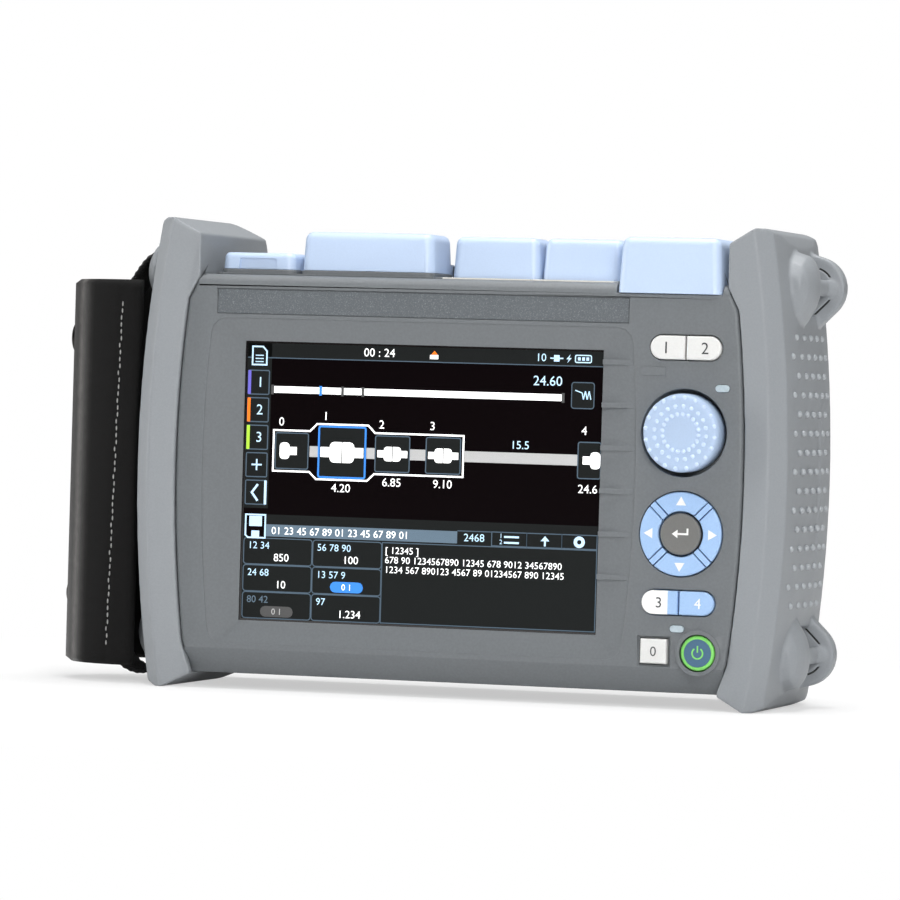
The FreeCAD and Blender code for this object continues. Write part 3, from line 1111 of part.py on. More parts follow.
# ---------------------------------------------------------------- hand strap
def webbing(label, direction):
    """Half of the strap: from the middle of the pad out to the bar of one lug."""
    body = new_body(label)
    x, bar, t = -s.strap_x, -s.bar_centre, s.strap_thickness
    lug = s.lug_high if direction > 0 else s.lug_low
    middle_z = (s.lug_high + s.lug_low) / 2
    wrap = s.bar_radius + 0.4 + t / 2
    end = s.grip_top if direction > 0 else s.grip_bottom
    spine = body.newObject("Sketcher::SketchObject", f"{label}_spine")
    support = next(f for f in body.Origin.OriginFeatures if f.Role == "XZ_Plane")
    spine.AttachmentSupport = [(support, "")]
    spine.MapMode = "FlatFace"
    if direction > 0:
        route = [(x, middle_z), (x, lug - 26.0), (bar - 9.5, end + 0.5), (bar - 3.0, lug + wrap + 2.6),
                 (bar + 2.2, lug + wrap + 0.8), (bar + wrap + 0.6, lug - 1.0), (bar + 0.3, lug - wrap - 0.9)]
    else:
        route = [(x, middle_z), (x, end + 24.0), (bar - 13.0, end + 1.2), (bar - 5.0, 4.4), (bar + 1.2, 6.4),
                 (bar + wrap + 0.2, lug - 3.0), (bar + wrap - 0.1, lug + 2.9), (bar - 1.6, lug + wrap + 0.7)]
    for element in round_route([V(px, pz, 0) for px, pz in route]):
        spine.addGeometry(element)
    section = sketch_on(body, "section", "XY", "(lug_high + lug_low) / 2")
    add_rectangle(section, "-strap_x", "0", "strap_thickness", "strap_width")
    doc.recompute()
    pipe = body.newObject("PartDesign::AdditivePipe", f"{label}_pipe")
    pipe.Profile = section
    pipe.Spine = (spine, [])
    pipe.Mode = "Binormal"
    pipe.Binormal = V(0, 1, 0)
    doc.recompute()
    return body


def round_route(points, share=0.42):
    """Straight runs joined by tangent arcs, each arc as large as its two runs allow."""
    elements, start = [], points[0]
    for before, corner, after in zip(points, points[1:], points[2:]):
        back, ahead = (before - corner).normalize(), (after - corner).normalize()
        reach = share * min((before - corner).Length, (after - corner).Length)
        first, last = corner + back * reach, corner + ahead * reach
        half = back.getAngle(ahead) / 2
        bisector = (back + ahead).normalize()
        radius = reach * math.tan(half)
        centre = corner + bisector * (reach / math.cos(half))
        elements.append(Part.LineSegment(start, first))
        elements.append(Part.Arc(first, centre - bisector * radius, last))
        start = last
    elements.append(Part.LineSegment(start, points[-1]))
    return elements


SNAPS = [("109.5", "5.0"), ("27.2", "3.6")]


def grip_pad():
    """Padded leather grip, bent round the hand."""
    body = new_body("grip_pad")
    section = sketch_on(body, "section", "XY", "grip_bottom")
    t, edge, depth = s.grip_thickness, -s.grip_edge, s.grip_half_depth
    add_path(section, [(edge, -depth), (-s.grip_reach, 0, "arc"), (edge, depth), (edge + t / 2, depth - t / 2, "arc"),
                       (edge, depth - t), (-s.grip_reach + t, 0, "arc"), (edge, -depth + t),
                       (edge + t / 2, -depth + t / 2, "arc")])
    feature(body, "Pad", "pad", section, "grip_top - grip_bottom")
    seats = sketch_on(body, "snap_seats", "YZ", "-grip_reach - 1")
    for i, (height, radius) in enumerate(SNAPS):
        add_rectangle(seats, "0", height, f"2 * {radius} + 0.4", f"2 * {radius} + 0.4", tag=f"s{i}")
    feature(body, "Pocket", "snap_seats_cut", seats, "1.4", Reversed=True)
    snaps = [cylinder(f"snap{i}", "-grip_reach - 1", "0", height, radius, "1.4", "X")
             for i, (height, radius) in enumerate(SNAPS)]
    node(fused("snaps", *snaps), "grip_snaps")


# ---------------------------------------------------------------- build
def build():
    front_cover()
    rear_cover()
    bumper("bumper_right", 1)
    bumper("bumper_left", -1)
    display()
    boards()
    key_switches()
    pair_key("real_time_key", -1, "upper_pair_z")
    pair_key("average_key", 1, "upper_pair_z")
    pair_key("menu_key", -1, "lower_pair_z")
    pair_key("setup_key", 1, "lower_pair_z")
    escape_key()
    enter_key()
    for label, turn in (("right_key", 0), ("up_key", 90), ("left_key", 180), ("down_key", 270)):
        arrow_key(label, turn)
    navigation_bridge()
    power_key()
    push_dial()
    for cover in COVERS:
        body = connector_cover(*cover)
        if cover[0] == "usb_cover":
            thumb_notch(body)
    hinge_hardware()
    ledge_parts()
    trim_parts()
    rear_parts()
    webbing("strap_upper", 1)
    webbing("strap_lower", -1)
    grip_pad()


def check():
    doc.recompute()
    failed = [obj.Name for obj in doc.Objects if {"Invalid", "Error"} & set(obj.State)]
    bad = [obj.Label for obj in NODES if obj.Shape.isNull() or not obj.Shape.isValid() or not obj.Shape.Solids]
    if failed or bad:
        raise RuntimeError(f"failed objects {failed}, bad shapes {bad}")


def export():
    os.makedirs("parts", exist_ok=True)
    for obj in NODES:
        obj.Shape.exportStep(f"parts/{obj.Label}.step")


build()
check()
export()
whole = Part.makeCompound([obj.Shape for obj in NODES]).optimalBoundingBox(False, False)
print(f"{len(NODES)} nodes, x {whole.XMin:.2f}..{whole.XMax:.2f}, y {whole.YMin:.2f}..{whole.YMax:.2f}, "
      f"z {whole.ZMin:.2f}..{whole.ZMax:.2f}")
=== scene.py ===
"""Looks of the handheld fibre tester: finishes, moulded forms, screen, prints, strap and light."""
import math

import bmesh
import bpy
from mathutils import Matrix, Vector
from mathutils.bvhtree import BVHTree


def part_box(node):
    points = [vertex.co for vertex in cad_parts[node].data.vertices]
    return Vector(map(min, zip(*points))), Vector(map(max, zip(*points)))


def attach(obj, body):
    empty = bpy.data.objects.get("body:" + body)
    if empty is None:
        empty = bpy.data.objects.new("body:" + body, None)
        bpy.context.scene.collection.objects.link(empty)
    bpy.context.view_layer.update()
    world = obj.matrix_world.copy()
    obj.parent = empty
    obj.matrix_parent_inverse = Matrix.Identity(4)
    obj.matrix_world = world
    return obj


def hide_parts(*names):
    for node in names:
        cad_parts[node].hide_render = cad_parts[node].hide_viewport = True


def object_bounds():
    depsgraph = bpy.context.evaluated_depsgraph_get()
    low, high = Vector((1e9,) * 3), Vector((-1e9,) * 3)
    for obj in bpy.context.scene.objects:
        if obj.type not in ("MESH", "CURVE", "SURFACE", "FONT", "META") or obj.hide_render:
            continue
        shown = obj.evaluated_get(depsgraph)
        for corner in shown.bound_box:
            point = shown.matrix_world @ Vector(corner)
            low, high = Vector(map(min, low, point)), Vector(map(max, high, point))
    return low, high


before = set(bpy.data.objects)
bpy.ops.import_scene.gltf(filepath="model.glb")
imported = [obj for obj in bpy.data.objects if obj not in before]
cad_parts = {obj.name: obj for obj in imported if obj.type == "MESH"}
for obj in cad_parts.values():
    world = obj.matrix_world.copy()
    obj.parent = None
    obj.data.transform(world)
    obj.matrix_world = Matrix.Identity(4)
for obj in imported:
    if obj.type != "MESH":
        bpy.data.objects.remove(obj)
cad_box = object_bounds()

MM = 0.001
TO_FRONT = Matrix.Rotation(math.radians(90), 4, "X")
QUARTER_ABOUT_X = (math.radians(90), 0, 0)
FRONT, UP = Vector((0, -1, 0)), Vector((0, 0, 1))
collection = bpy.context.scene.collection


# ---- camera
def set_camera():
    """Long lens, a little to the right of the object and at half its height."""
    low, high = cad_box
    yaw, pitch, roll = math.radians(16.81), math.radians(0.68), math.radians(1.65)
    distance, lens, sensor, reach = 1.671, 211.2, 36.0, 20.0
    from_right, above_floor = 123.36 * MM, 77.0 * MM
    target = Vector((high[0] - from_right, (low[1] + high[1]) / 2, above_floor))
    back = Vector((math.sin(yaw) * math.cos(pitch), -math.cos(yaw) * math.cos(pitch), math.sin(pitch)))
    right = (-back).cross(UP).normalized()
    up = right.cross(-back)
    turned = right * math.cos(roll) + up * math.sin(roll)
    upright = up * math.cos(roll) - right * math.sin(roll)
    place = target + back * distance
    camera = bpy.data.cameras.new("view_camera")
    camera.lens = lens
    camera.sensor_width = sensor
    camera.clip_end = reach
    holder = new_object("view_camera", camera)
    rows = [(turned[axis], upright[axis], back[axis], place[axis]) for axis in range(3)]
    holder.matrix_world = Matrix(rows + [(0, 0, 0, 1)])
    bpy.context.scene.camera = holder


def new_object(name, data):
    obj = bpy.data.objects.new(name, data)
    collection.objects.link(obj)
    return obj


# ---- finishes
def srgb(*values):
    """Linear colour from display values of 0 to 255."""
    return tuple(((v / 255 + 0.055) / 1.055) ** 2.4 for v in values) + (1.0,)


def shade(colour, factor):
    return tuple(min(1.0, c * factor) for c in colour[:3]) + (1.0,)


def grey(level):
    return (level, level, level, 1.0)


class Graph:
    """Adds nodes to a tree, each with its settings, values and links in one call."""

    def __init__(self, tree):
        self.nodes, self.links = tree.nodes, tree.links

    def put(self, socket, value):
        """Links an output, or a node's first one, to the socket, or else sets the socket's own value."""
        if isinstance(value, bpy.types.Node):
            value = value.outputs[0]
        if isinstance(value, bpy.types.NodeSocket):
            self.links.new(value, socket)
        else:
            socket.default_value = value

    def add(self, kind, settings=(), *values, **inputs):
        """A new node: values fill its inputs in their order, and the rest go by name."""
        made = self.nodes.new(kind)
        for name, value in dict(settings).items():
            setattr(made, name, value)
        for socket, value in zip(made.inputs, values):
            self.put(socket, value)
        for name, value in inputs.items():
            self.put(made.inputs[name.replace("_", " ")], value)
        return made

    def maths(self, operation, first, second):
        return self.add("ShaderNodeMath", {"operation": operation}, first, second)


class Finish(Graph):
    """A procedural material that reads Object coordinates, in metres."""

    PATCH_DARK, PATCH_LIGHT = 0.35, 0.65

    def __init__(self, name, colour, roughness, metallic=0.0, coat=0.0, specular=0.5):
        self.material = bpy.data.materials.new(name)
        self.material.use_nodes = True
        super().__init__(self.material.node_tree)
        self.shader = self.nodes["Principled BSDF"]
        self.colour = colour
        for socket, value in (("Base Color", colour), ("Roughness", roughness), ("Metallic", metallic),
                              ("Coat Weight", coat), ("Specular IOR Level", specular)):
            self.drive(socket, value)
        self.place = self.nodes.new("ShaderNodeTexCoord").outputs["Object"]

    def drive(self, socket, value):
        self.put(self.shader.inputs[socket], value)

    def noise(self, size, detail=2.0):
        """Noise whose features are about size metres across."""
        return self.add("ShaderNodeTexNoise", Vector=self.place, Scale=1 / size, Detail=detail)

    def ramp(self, factor, *stops):
        made = self.add("ShaderNodeValToRGB", Fac=factor)
        while len(made.color_ramp.elements) < len(stops):
            made.color_ramp.elements.new(0.5)
        for element, (position, colour) in zip(made.color_ramp.elements, stops):
            element.position = position
            element.color = colour
        return made

    def patches(self, size, detail, dark, light):
        """Soft patches of two colours."""
        return self.ramp(self.noise(size, detail), (self.PATCH_DARK, dark), (self.PATCH_LIGHT, light))

    def mottle(self, size, amount, detail=3.0):
        """Varies the colour by that share between darker and lighter patches."""
        dark, light = shade(self.colour, 1 - amount), shade(self.colour, 1 + amount)
        self.drive("Base Color", self.patches(size, detail, dark, light))

    def blotch(self, size, low, high):
        """Varies the roughness between two values."""
        span = self.add("ShaderNodeMapRange", Value=self.noise(size, 4.0), To_Min=low, To_Max=high)
        self.drive("Roughness", span)

    def raise_by(self, height, depth, strength=1.0):
        """Adds relief of that depth in metres on top of what is there."""
        bump = self.add("ShaderNodeBump", Strength=strength, Distance=depth, Height=height)
        normal = self.shader.inputs["Normal"]
        if normal.links:
            self.put(bump.inputs["Normal"], normal.links[0].from_socket)
        self.put(normal, bump)
        return self

    def grain(self, size, depth, detail=2.0):
        return self.raise_by(self.noise(size, detail), depth)


def moulded(name, colour, roughness, grain, depth, mottling, coat=0.0):
    """Injection-moulded plastic: fine spark grain, faint mottling and rubbed patches."""
    finish = Finish(name, srgb(*colour), roughness, coat=coat)
    finish.mottle(grain * 1.6 * MM, mottling, detail=4.0)
    finish.blotch(9 * MM, roughness - 0.06, roughness + 0.06)
    return finish.grain(grain * MM, depth * MM)


def metal_finish(name, colour, roughness):
    """Machined metal with fine scratches in patches."""
    finish = Finish(name, srgb(*colour), roughness, metallic=1.0)
    finish.mottle(3 * MM, 0.06)
    finish.blotch(1.5 * MM, roughness - 0.08, roughness + 0.1)
    return finish.grain(0.12 * MM, 0.004 * MM)


def speckled_finish():
    """Dark grey paint with fine pale flecks."""
    finish = Finish("plate_speckle", srgb(98, 103, 107), 0.5)
    finish.drive("Base Color", finish.ramp(finish.noise(0.26 * MM, 1.0), (0.42, shade(finish.colour, 0.86)),
                                           (0.6, finish.colour), (0.8, srgb(140, 146, 150))))
    finish.blotch(6 * MM, 0.42, 0.55)
    return finish.grain(0.3 * MM, 0.02 * MM)


def leather_finish():
    """Black pebbled leather: a painted highlight down the outer bend, where it is also glossier, and painted
    shade, dull and dark, beside the guard.
    """
    finish = Finish("grip_leather", srgb(40, 39, 38), 0.4, specular=0.25)
    start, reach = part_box("grip_pad")[0].x, 22 * MM
    across = finish.add("ShaderNodeSeparateXYZ", Vector=finish.place).outputs["X"]
    share = finish.add("ShaderNodeMapRange", Value=across, From_Min=start, From_Max=start + reach)
    # Painted light: the peak of 5.5 is a painted highlight in place of the lamp's streak, and the fall to 0.1
    # is painted shade on the side turned away from the lamps.
    painted_light_tones = ((0.0, 1.3), (0.27, 1.8), (0.36, 5.5), (0.46, 1.3), (0.62, 0.1))
    painted_light_ramp = finish.ramp(share, *((position, shade(finish.colour, tone)) for position, tone in painted_light_tones))
    tone_and_painted_light = finish.add("ShaderNodeMix", {"data_type": "RGBA", "blend_type": "MULTIPLY"}, 1.0)
    finish.put(tone_and_painted_light.inputs[6], painted_light_ramp)
    finish.put(tone_and_painted_light.inputs[7], finish.patches(2.4 * MM, 3.0, grey(0.7), grey(1)))
    finish.drive("Base Color", tone_and_painted_light.outputs[2])
    finish.drive("Roughness", finish.ramp(share, (0.3, grey(0.42)), (0.42, grey(0.3)), (0.56, grey(0.85))))
    cells = finish.add("ShaderNodeTexVoronoi", {"feature": "DISTANCE_TO_EDGE"}, Vector=finish.place,
                       Scale=1 / (0.7 * MM))
    finish.raise_by(finish.ramp(cells.outputs["Distance"], (0.0, grey(0)), (0.25, grey(1))), 0.035 * MM, 0.6)
    return finish.grain(0.42 * MM, 0.09 * MM, detail=3.0)


def webbing_finish():
    """Black nylon webbing: twill threads that run along and across the strap's own map."""
    finish = Finish("strap_webbing", srgb(27, 27, 28), 0.75)
    uv = finish.add("ShaderNodeUVMap", {"uv_map": "strap"})
    waves = [finish.add("ShaderNodeTexWave", {"bands_direction": way}, Vector=uv, Scale=scale, Distortion=0.6)
             for way, scale in (("X", 9.0), ("DIAGONAL", 6.0))]
    finish.mottle(0.6 * MM, 0.5)
    finish.raise_by(finish.maths("MULTIPLY", *(wave.outputs[1] for wave in waves)), 0.25 * MM)
    return finish.grain(0.15 * MM, 0.05 * MM)


def picture_finish(name, colour, glow):
    """A lit colour on the screen, behind a grid as fine as the display's own dots."""
    finish = Finish(name, srgb(*colour), 0.25, specular=0.05)
    upright = finish.add("ShaderNodeMapping", Vector=finish.place, Rotation=QUARTER_ABOUT_X)
    dots = finish.add("ShaderNodeTexBrick", {"offset": 0.0}, Vector=upright, Scale=1 / (0.18 * MM),
                      Brick_Width=1.0, Row_Height=1.0, Mortar_Size=0.06, Color1=finish.colour,
                      Color2=finish.colour, Mortar=shade(finish.colour, 0.72))
    for socket in ("Base Color", "Emission Color"):
        finish.drive(socket, dots)
    finish.drive("Emission Strength", glow)
    return finish


# Display colour, roughness, size and depth of the grain in millimetres, mottling, clear coat.
PLASTICS = {
    "case_plastic": ((108, 112, 115), 0.5, 0.5, 0.02, 0.045),
    "bumper_rubber": ((140, 144, 148), 0.5, 0.35, 0.008, 0.025),
    # Lighter rubber for the grip domes: the lighter colour is a painted highlight, and the lower roughness
    # makes them glossier.
    "dome_rubber_painted_highlight": ((160, 164, 168), 0.36, 0.35, 0.006, 0.03),
    "cover_blue": ((190, 208, 234), 0.36, 0.3, 0.004, 0.015),
    "dial_blue": ((174, 194, 221), 0.38, 0.3, 0.004, 0.02),
    # Lighter blue for the dial domes: the lighter colour is a painted highlight, and the lower roughness
    # makes them glossier.
    "dome_blue_painted_highlight": ((200, 217, 243), 0.26, 0.3, 0.003, 0.02),
    "key_white": ((222, 222, 220), 0.36, 0.3, 0.005, 0.02),
    "key_blue": ((160, 192, 232), 0.36, 0.3, 0.005, 0.03),
    "key_grey": ((112, 112, 110), 0.42, 0.3, 0.006, 0.03),
    "plate_white": ((228, 226, 220), 0.5, 0.3, 0.004, 0.02),
    "lens_clear": ((176, 190, 198), 0.2, 0.6, 0.01, 0.05, 0.4),
    "ring_green": ((128, 214, 104), 0.3, 0.4, 0.006, 0.04, 0.3),
    "disc_slate": ((70, 104, 132), 0.4, 0.4, 0.006, 0.04),
    "black_plastic": ((30, 31, 33), 0.5, 0.5, 0.02, 0.1),
    "board_green": ((24, 84, 56), 0.45, 0.8, 0.02, 0.12),
    "print_ink": ((58, 60, 62), 0.5, 0.5, 0.02, 0.08),
    "print_white": ((240, 240, 238), 0.45, 0.5, 0.02, 0.03),
    "sewing_thread": ((150, 150, 148), 0.7, 0.2, 0.02, 0.15),
}
METALS = {
    "port_metal": ("port_metal", (196, 196, 192), 0.25),
    "metal": ("display_metal", (176, 178, 180), 0.35),
    "steel": ("steel", (150, 150, 150), 0.3),
    "snap_dark": ("snap_dark", (58, 57, 56), 0.4),
}
PICTURE_COLOURS = {
    "black": (9, 3, 5), "panel": (29, 31, 31), "slate": (86, 102, 115), "line": (70, 84, 96),
    "pale": (178, 208, 230), "white": (250, 250, 250), "grey": (158, 158, 158), "dark": (72, 72, 72),
    "blue": (58, 122, 205), "violet": (98, 92, 178), "orange": (224, 112, 36), "green": (158, 205, 62),
}
PICTURE_GLOW, DIM_GLOW = 0.85, {"black": 0.2, "panel": 0.4}

FINISHES = {name: moulded(name, *values) for name, values in PLASTICS.items()}
FINISHES.update({slot: metal_finish(*values) for slot, values in METALS.items()})
for shown, colour in PICTURE_COLOURS.items():
    name = f"picture_{shown}"
    FINISHES[name] = picture_finish(name, colour, DIM_GLOW.get(shown, PICTURE_GLOW))
FINISHES.update(plate_grey=speckled_finish(), leather=leather_finish(), webbing=webbing_finish())


# ---- making pieces
def from_bmesh(name, bm, smooth=30.0):
    """A mesh object, smooth apart from edges sharper than that many degrees."""
    mesh = bpy.data.meshes.new(name)
    bm.to_mesh(mesh)
    bm.free()
    mesh.polygons.foreach_set("use_smooth", [True] * len(mesh.polygons))
    mesh.set_sharp_from_angle(angle=math.radians(smooth))
    return new_object(name, mesh)


def outwards(name, bm, smooth=30.0):
    """A mesh object like from_bmesh's, with its faces turned outwards first."""
    bmesh.ops.recalc_face_normals(bm, faces=bm.faces)
    return from_bmesh(name, bm, smooth)


def facing(bm, verts, direction):
    """Adds a face that looks along the direction."""
    face = bm.faces.new(verts)
    face.normal_update()
    if face.normal.dot(direction) < 0:
        face.normal_flip()


def skin(bm, rings, capped=False):
    """Faces from each ring of points to the next, and across both ends when capped."""
    for lower, upper in zip(rings, rings[1:]):
        for k in range(len(lower)):
            j = (k + 1) % len(lower)
            bm.faces.new([lower[k], lower[j], upper[j], upper[k]])
    if capped:
        bm.faces.new(rings[0])
        bm.faces.new(rings[-1])


def corner_arcs(x0, x1, y0, y1, corner, steps):
    """Points of a rectangle with round corners, anticlockwise from its upper right corner."""
    points = []
    for x, y, start in ((x1 - corner, y1 - corner, 0), (x0 + corner, y1 - corner, 90),
                        (x0 + corner, y0 + corner, 180), (x1 - corner, y0 + corner, 270)):
        for step in range(steps + 1):
            turn = math.radians(start + 90 * step / steps)
            points.append((x + corner * math.cos(turn), y + corner * math.sin(turn)))
    return points


def paint(node, finish):
    """Gives a CAD node its finish where its shape is right as it is."""
    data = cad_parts[node].data
    data.materials.clear()
    data.materials.append(finish.material)


def dress(obj, slot, body, replaces=(), finish=None):
    """Gives a piece the finish of its slot, or the finish named, hangs it on the body it rides on, and hides
    the CAD nodes that it stands for.
    """
    obj.data.materials.clear()
    obj.data.materials.append(FINISHES[finish or slot].material)
    if replaces:
        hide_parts(*replaces)
    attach(obj, body)
    return obj


def merged_copy(node):
    """The CAD node's mesh with its loose triangles joined."""
    bm = bmesh.new()
    bm.from_mesh(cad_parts[node].data)
    bmesh.ops.remove_doubles(bm, verts=bm.verts, dist=0.004 * MM)
    return bm


def modify(obj, kind, **settings):
    made = obj.modifiers.new(kind.lower(), kind)
    for name, value in settings.items():
        setattr(made, name, value)


def bevelled(node, slot, body, width, segments=3, share=None, finish=None):
    """A copy of a CAD node with its outward edges rounded by that many millimetres.

    share tells how much of the width an edge gets, from its middle; without it each edge gets the whole.
    """
    flattest, smooth = math.radians(25.0), 37.0
    bm = merged_copy(node)
    weights = []
    for edge in bm.edges:
        sharp = len(edge.link_faces) == 2 and edge.is_convex and edge.calc_face_angle() > flattest
        middle = (edge.verts[0].co + edge.verts[1].co) / 2
        weights.append((share(middle) if share else 1.0) if sharp else 0.0)
    obj = from_bmesh(f"{node}_moulding", bm, smooth)
    obj.data.attributes.new("bevel_weight_edge", "FLOAT", "EDGE").data.foreach_set("value", weights)
    modify(obj, "BEVEL", width=width * MM, segments=segments, limit_method="WEIGHT", use_clamp_overlap=False,
           loop_slide=False)
    modify(obj, "WEIGHTED_NORMAL", keep_sharp=True)
    dress(obj, slot, body, (node,), finish)


def remoulded(node, slot, body):
    """A copy of a CAD node remeshed and smoothed, so that every edge is soft like cast rubber."""
    obj = from_bmesh(f"{node}_moulding", merged_copy(node))
    modify(obj, "REMESH", mode="VOXEL", voxel_size=0.5 * MM, use_smooth_shade=True)
    modify(obj, "SMOOTH", factor=0.5, iterations=5)
    modify(obj, "DECIMATE", ratio=0.42)
    bake_modifiers(obj)
    return dress(obj, slot, body, (node,))


def evaluated_mesh(obj):
    graph = bpy.context.evaluated_depsgraph_get()
    graph.update()
    return bpy.data.meshes.new_from_object(obj.evaluated_get(graph))


def bake_modifiers(obj):
    """Turns the object with its modifiers into a plain mesh."""
    mesh, old = evaluated_mesh(obj), obj.data
    obj.modifiers.clear()
    obj.data = mesh
    mesh.name = old.name


def curve_mesh(curve):
    """The mesh that a curve or a text makes. The curve itself is removed."""
    holder = new_object(curve.name, curve)
    mesh = evaluated_mesh(holder)
    bpy.data.objects.remove(holder)
    bpy.data.curves.remove(curve)
    return mesh


def repeat_at(name, points, shape, slot, body, finish=None, smooth=True, **sizes):
    """Geometry Nodes put one small form at every point, and the result becomes a plain mesh."""
    mesh = bpy.data.meshes.new(name)
    mesh.from_pydata([tuple(p) for p in points], [], [])
    obj = new_object(name, mesh)
    tree = bpy.data.node_groups.new(f"{name} layout", "GeometryNodeTree")
    for way in ("INPUT", "OUTPUT"):
        tree.interface.new_socket("Geometry", in_out=way, socket_type="NodeSocketGeometry")
    graph = Graph(tree)
    spots = graph.add("GeometryNodeMeshToPoints", Mesh=graph.add("NodeGroupInput"))
    stamp = graph.add("GeometryNodeInstanceOnPoints", Points=spots, Instance=shape(graph, **sizes))
    real = graph.add("GeometryNodeRealizeInstances", Geometry=stamp)
    soft = graph.add("GeometryNodeSetShadeSmooth", Geometry=real, Shade_Smooth=smooth)
    painted = graph.add("GeometryNodeSetMaterial", Geometry=soft, Material=FINISHES[finish or slot].material)
    graph.add("NodeGroupOutput", Geometry=painted)
    modify(obj, "NODES", node_group=tree)
    bake_modifiers(obj)
    dress(obj, slot, body, finish=finish)


def dome_form(graph, radius, scale=(1.0, 1.0, 1.0)):
    """A sphere squashed or drawn out along the axes."""
    ball = graph.add("GeometryNodeMeshUVSphere", Segments=12, Rings=7, Radius=radius)
    return graph.add("GeometryNodeTransform", Geometry=ball, Scale=scale)


def screw_form(graph, radius, depth):
    """Pan head with its axis along Y."""
    head = graph.add("GeometryNodeMeshCylinder", Vertices=28, Radius=radius, Depth=depth)
    return graph.add("GeometryNodeTransform", Geometry=head, Rotation=QUARTER_ABOUT_X)


def centre_of(node):
    low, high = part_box(node)
    return (low + high) / 2


def front_of(node):
    """Middle of the node's front face."""
    low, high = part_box(node)
    return Vector(((low.x + high.x) / 2, low.y, (low.z + high.z) / 2))


# ---- case
GUARDS = {"bumper_right": 1, "bumper_left": -1}
EAR_HIGH, EAR_LOW = 131.0 * MM, 16.5 * MM
EAR_FACE, EAR_CENTRE = 24.2 * MM, 10.0 * MM
LUG_ROOT, LUG_DRAW_IN = 7.0 * MM, 0.45


def seam_rounding(middle):
    """The front cover's broad rounding along the guards, and a narrow one on everything else."""
    front_band, top_band, foot_band = 1.4 * MM, 12 * MM, 4 * MM
    side_edge, corner_edge, narrow = 87.4 * MM, 84.5 * MM, 0.22
    low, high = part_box("front_cover")
    across = abs(middle.x - (low.x + high.x) / 2)
    at_front = middle.y < low.y + front_band
    upper_or_lower = middle.z > high.z - top_band or middle.z < low.z + foot_band
    return 1.0 if at_front and (across > side_edge or (across > corner_edge and upper_or_lower)) else narrow


def case_parts():
    bevelled("front_cover", "case_plastic", "case", width=1.3, segments=4, share=seam_rounding)
    bevelled("rear_cover", "case_plastic", "case", width=0.5)
    for node, side in GUARDS.items():
        draw_in_front_lugs(remoulded(node, "bumper_rubber", "case"), node, side)
    bevelled("name_plate", "plate_grey", "case", width=0.12, segments=2)
    for node in ("laser_lens", "charge_lens"):
        bevelled(node, "lens_clear", "case", width=0.25)


def draw_in_front_lugs(guard, node, side):
    """Pulls the domes before the strap ears closer to the guard, so that the ears stand out behind them."""
    clear, blend = 0.6 * MM, 1.5 * MM
    low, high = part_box(node)
    outside = high.x if side > 0 else -low.x
    root, ear_front = outside - LUG_ROOT, high.y - EAR_FACE
    for vertex in guard.data.vertices:
        beyond = side * vertex.co.x - root
        before = min(1.0, max(0.0, (ear_front - clear - vertex.co.y) / blend))
        if beyond > 0 and before > 0:
            vertex.co.x -= side * beyond * before * LUG_DRAW_IN


def side_domes():
    """Rows of small grip domes on the outer face of both guards, alternately five and six."""
    rows, pitch_z, top = 15, 5.9 * MM, 115.2 * MM
    spread, middle_y, clear = 8.5 * MM, -0.4 * MM, 20 * MM
    for node, side in GUARDS.items():
        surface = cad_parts[node].data
        tree = BVHTree.FromPolygons([v.co for v in surface.vertices], [p.vertices for p in surface.polygons])
        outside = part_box(node)[1 if side > 0 else 0].x + side * clear
        points = []
        for row in range(rows):
            count = 5 + row % 2
            for k in range(count):
                y = middle_y + (k - (count - 1) / 2) * spread
                hit = tree.ray_cast(Vector((outside, y, top - row * pitch_z)), Vector((-side, 0, 0)))[0]
                if hit:
                    points.append(hit)
        # The domes take the lighter rubber, whose colour is a painted highlight.
        repeat_at(f"{node}_grip_domes", points, dome_form, "bumper_rubber", "case", finish="dome_rubber_painted_highlight",
                  radius=1.0 * MM, scale=(0.95, 1.0, 1.0))


def ear_ring(bm, place, radius, before, side, up):
    """Tear-drop ring on the middle of a strap ear: round outside, two flanks towards the guard."""
    flat, steep, flank_end, steps = math.radians(73), math.radians(-45), -3.0, 20
    turns = [flat + (steep - flat) * k / steps for k in range(steps + 1)]
    points = [(radius * math.cos(a), radius * math.sin(a)) for a in turns]
    for a, (x, z) in ((steep, points[-1]), (flat, points[0])):
        points.append((flank_end, z + (x - flank_end) / math.tan(a)))
    return [bm.verts.new(place + Vector((side * x, -before, up * z)) * MM) for x, z in points]


def ear_inserts():
    """Insert that carries the strap bar in each rear ear, ringed by a black sheet of painted shadow where the
    narrow gap round it falls dark.
    """
    gap_shadow_radius, radius, gap_shadow_before, rim, proud, chamfer = 6.7, 6.1, 0.04, 0.35, 0.6, 0.3
    for node, side in GUARDS.items():
        low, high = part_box(node)
        x = high.x - EAR_CENTRE if side > 0 else low.x + EAR_CENTRE
        gap, insert = bmesh.new(), bmesh.new()
        for z, up in ((EAR_HIGH, 1), (EAR_LOW, -1)):
            place = Vector((x, high.y - EAR_FACE, z))
            outer, inner = (ear_ring(gap, place, r, gap_shadow_before, side, up) for r in (gap_shadow_radius, radius))
            # Painted shadow: a flat black ring just in front of the ear face stands for the shade inside the
            # narrow gap.
            for k in range(len(outer) - 1):
                facing(gap, (outer[k], outer[k + 1], inner[k + 1], inner[k]), FRONT)
            rings = [ear_ring(insert, place, r, before, side, up)
                     for r, before in ((radius, 0.0), (radius, rim), (radius - chamfer, proud))]
            skin(insert, rings)
            insert.faces.new(rings[-1])
        dress(from_bmesh(f"{node}_ear_gap_shadows", gap), "black_plastic", "case")
        dress(outwards(f"{node}_ear_inserts", insert), "bumper_rubber", "case")


# ---- screen
PICTURE_MARGIN = 2.5 * MM
PICTURE_LIFT, LEVEL_STEP = 0.02 * MM, 0.012 * MM
LETTER_SHARE = 0.7


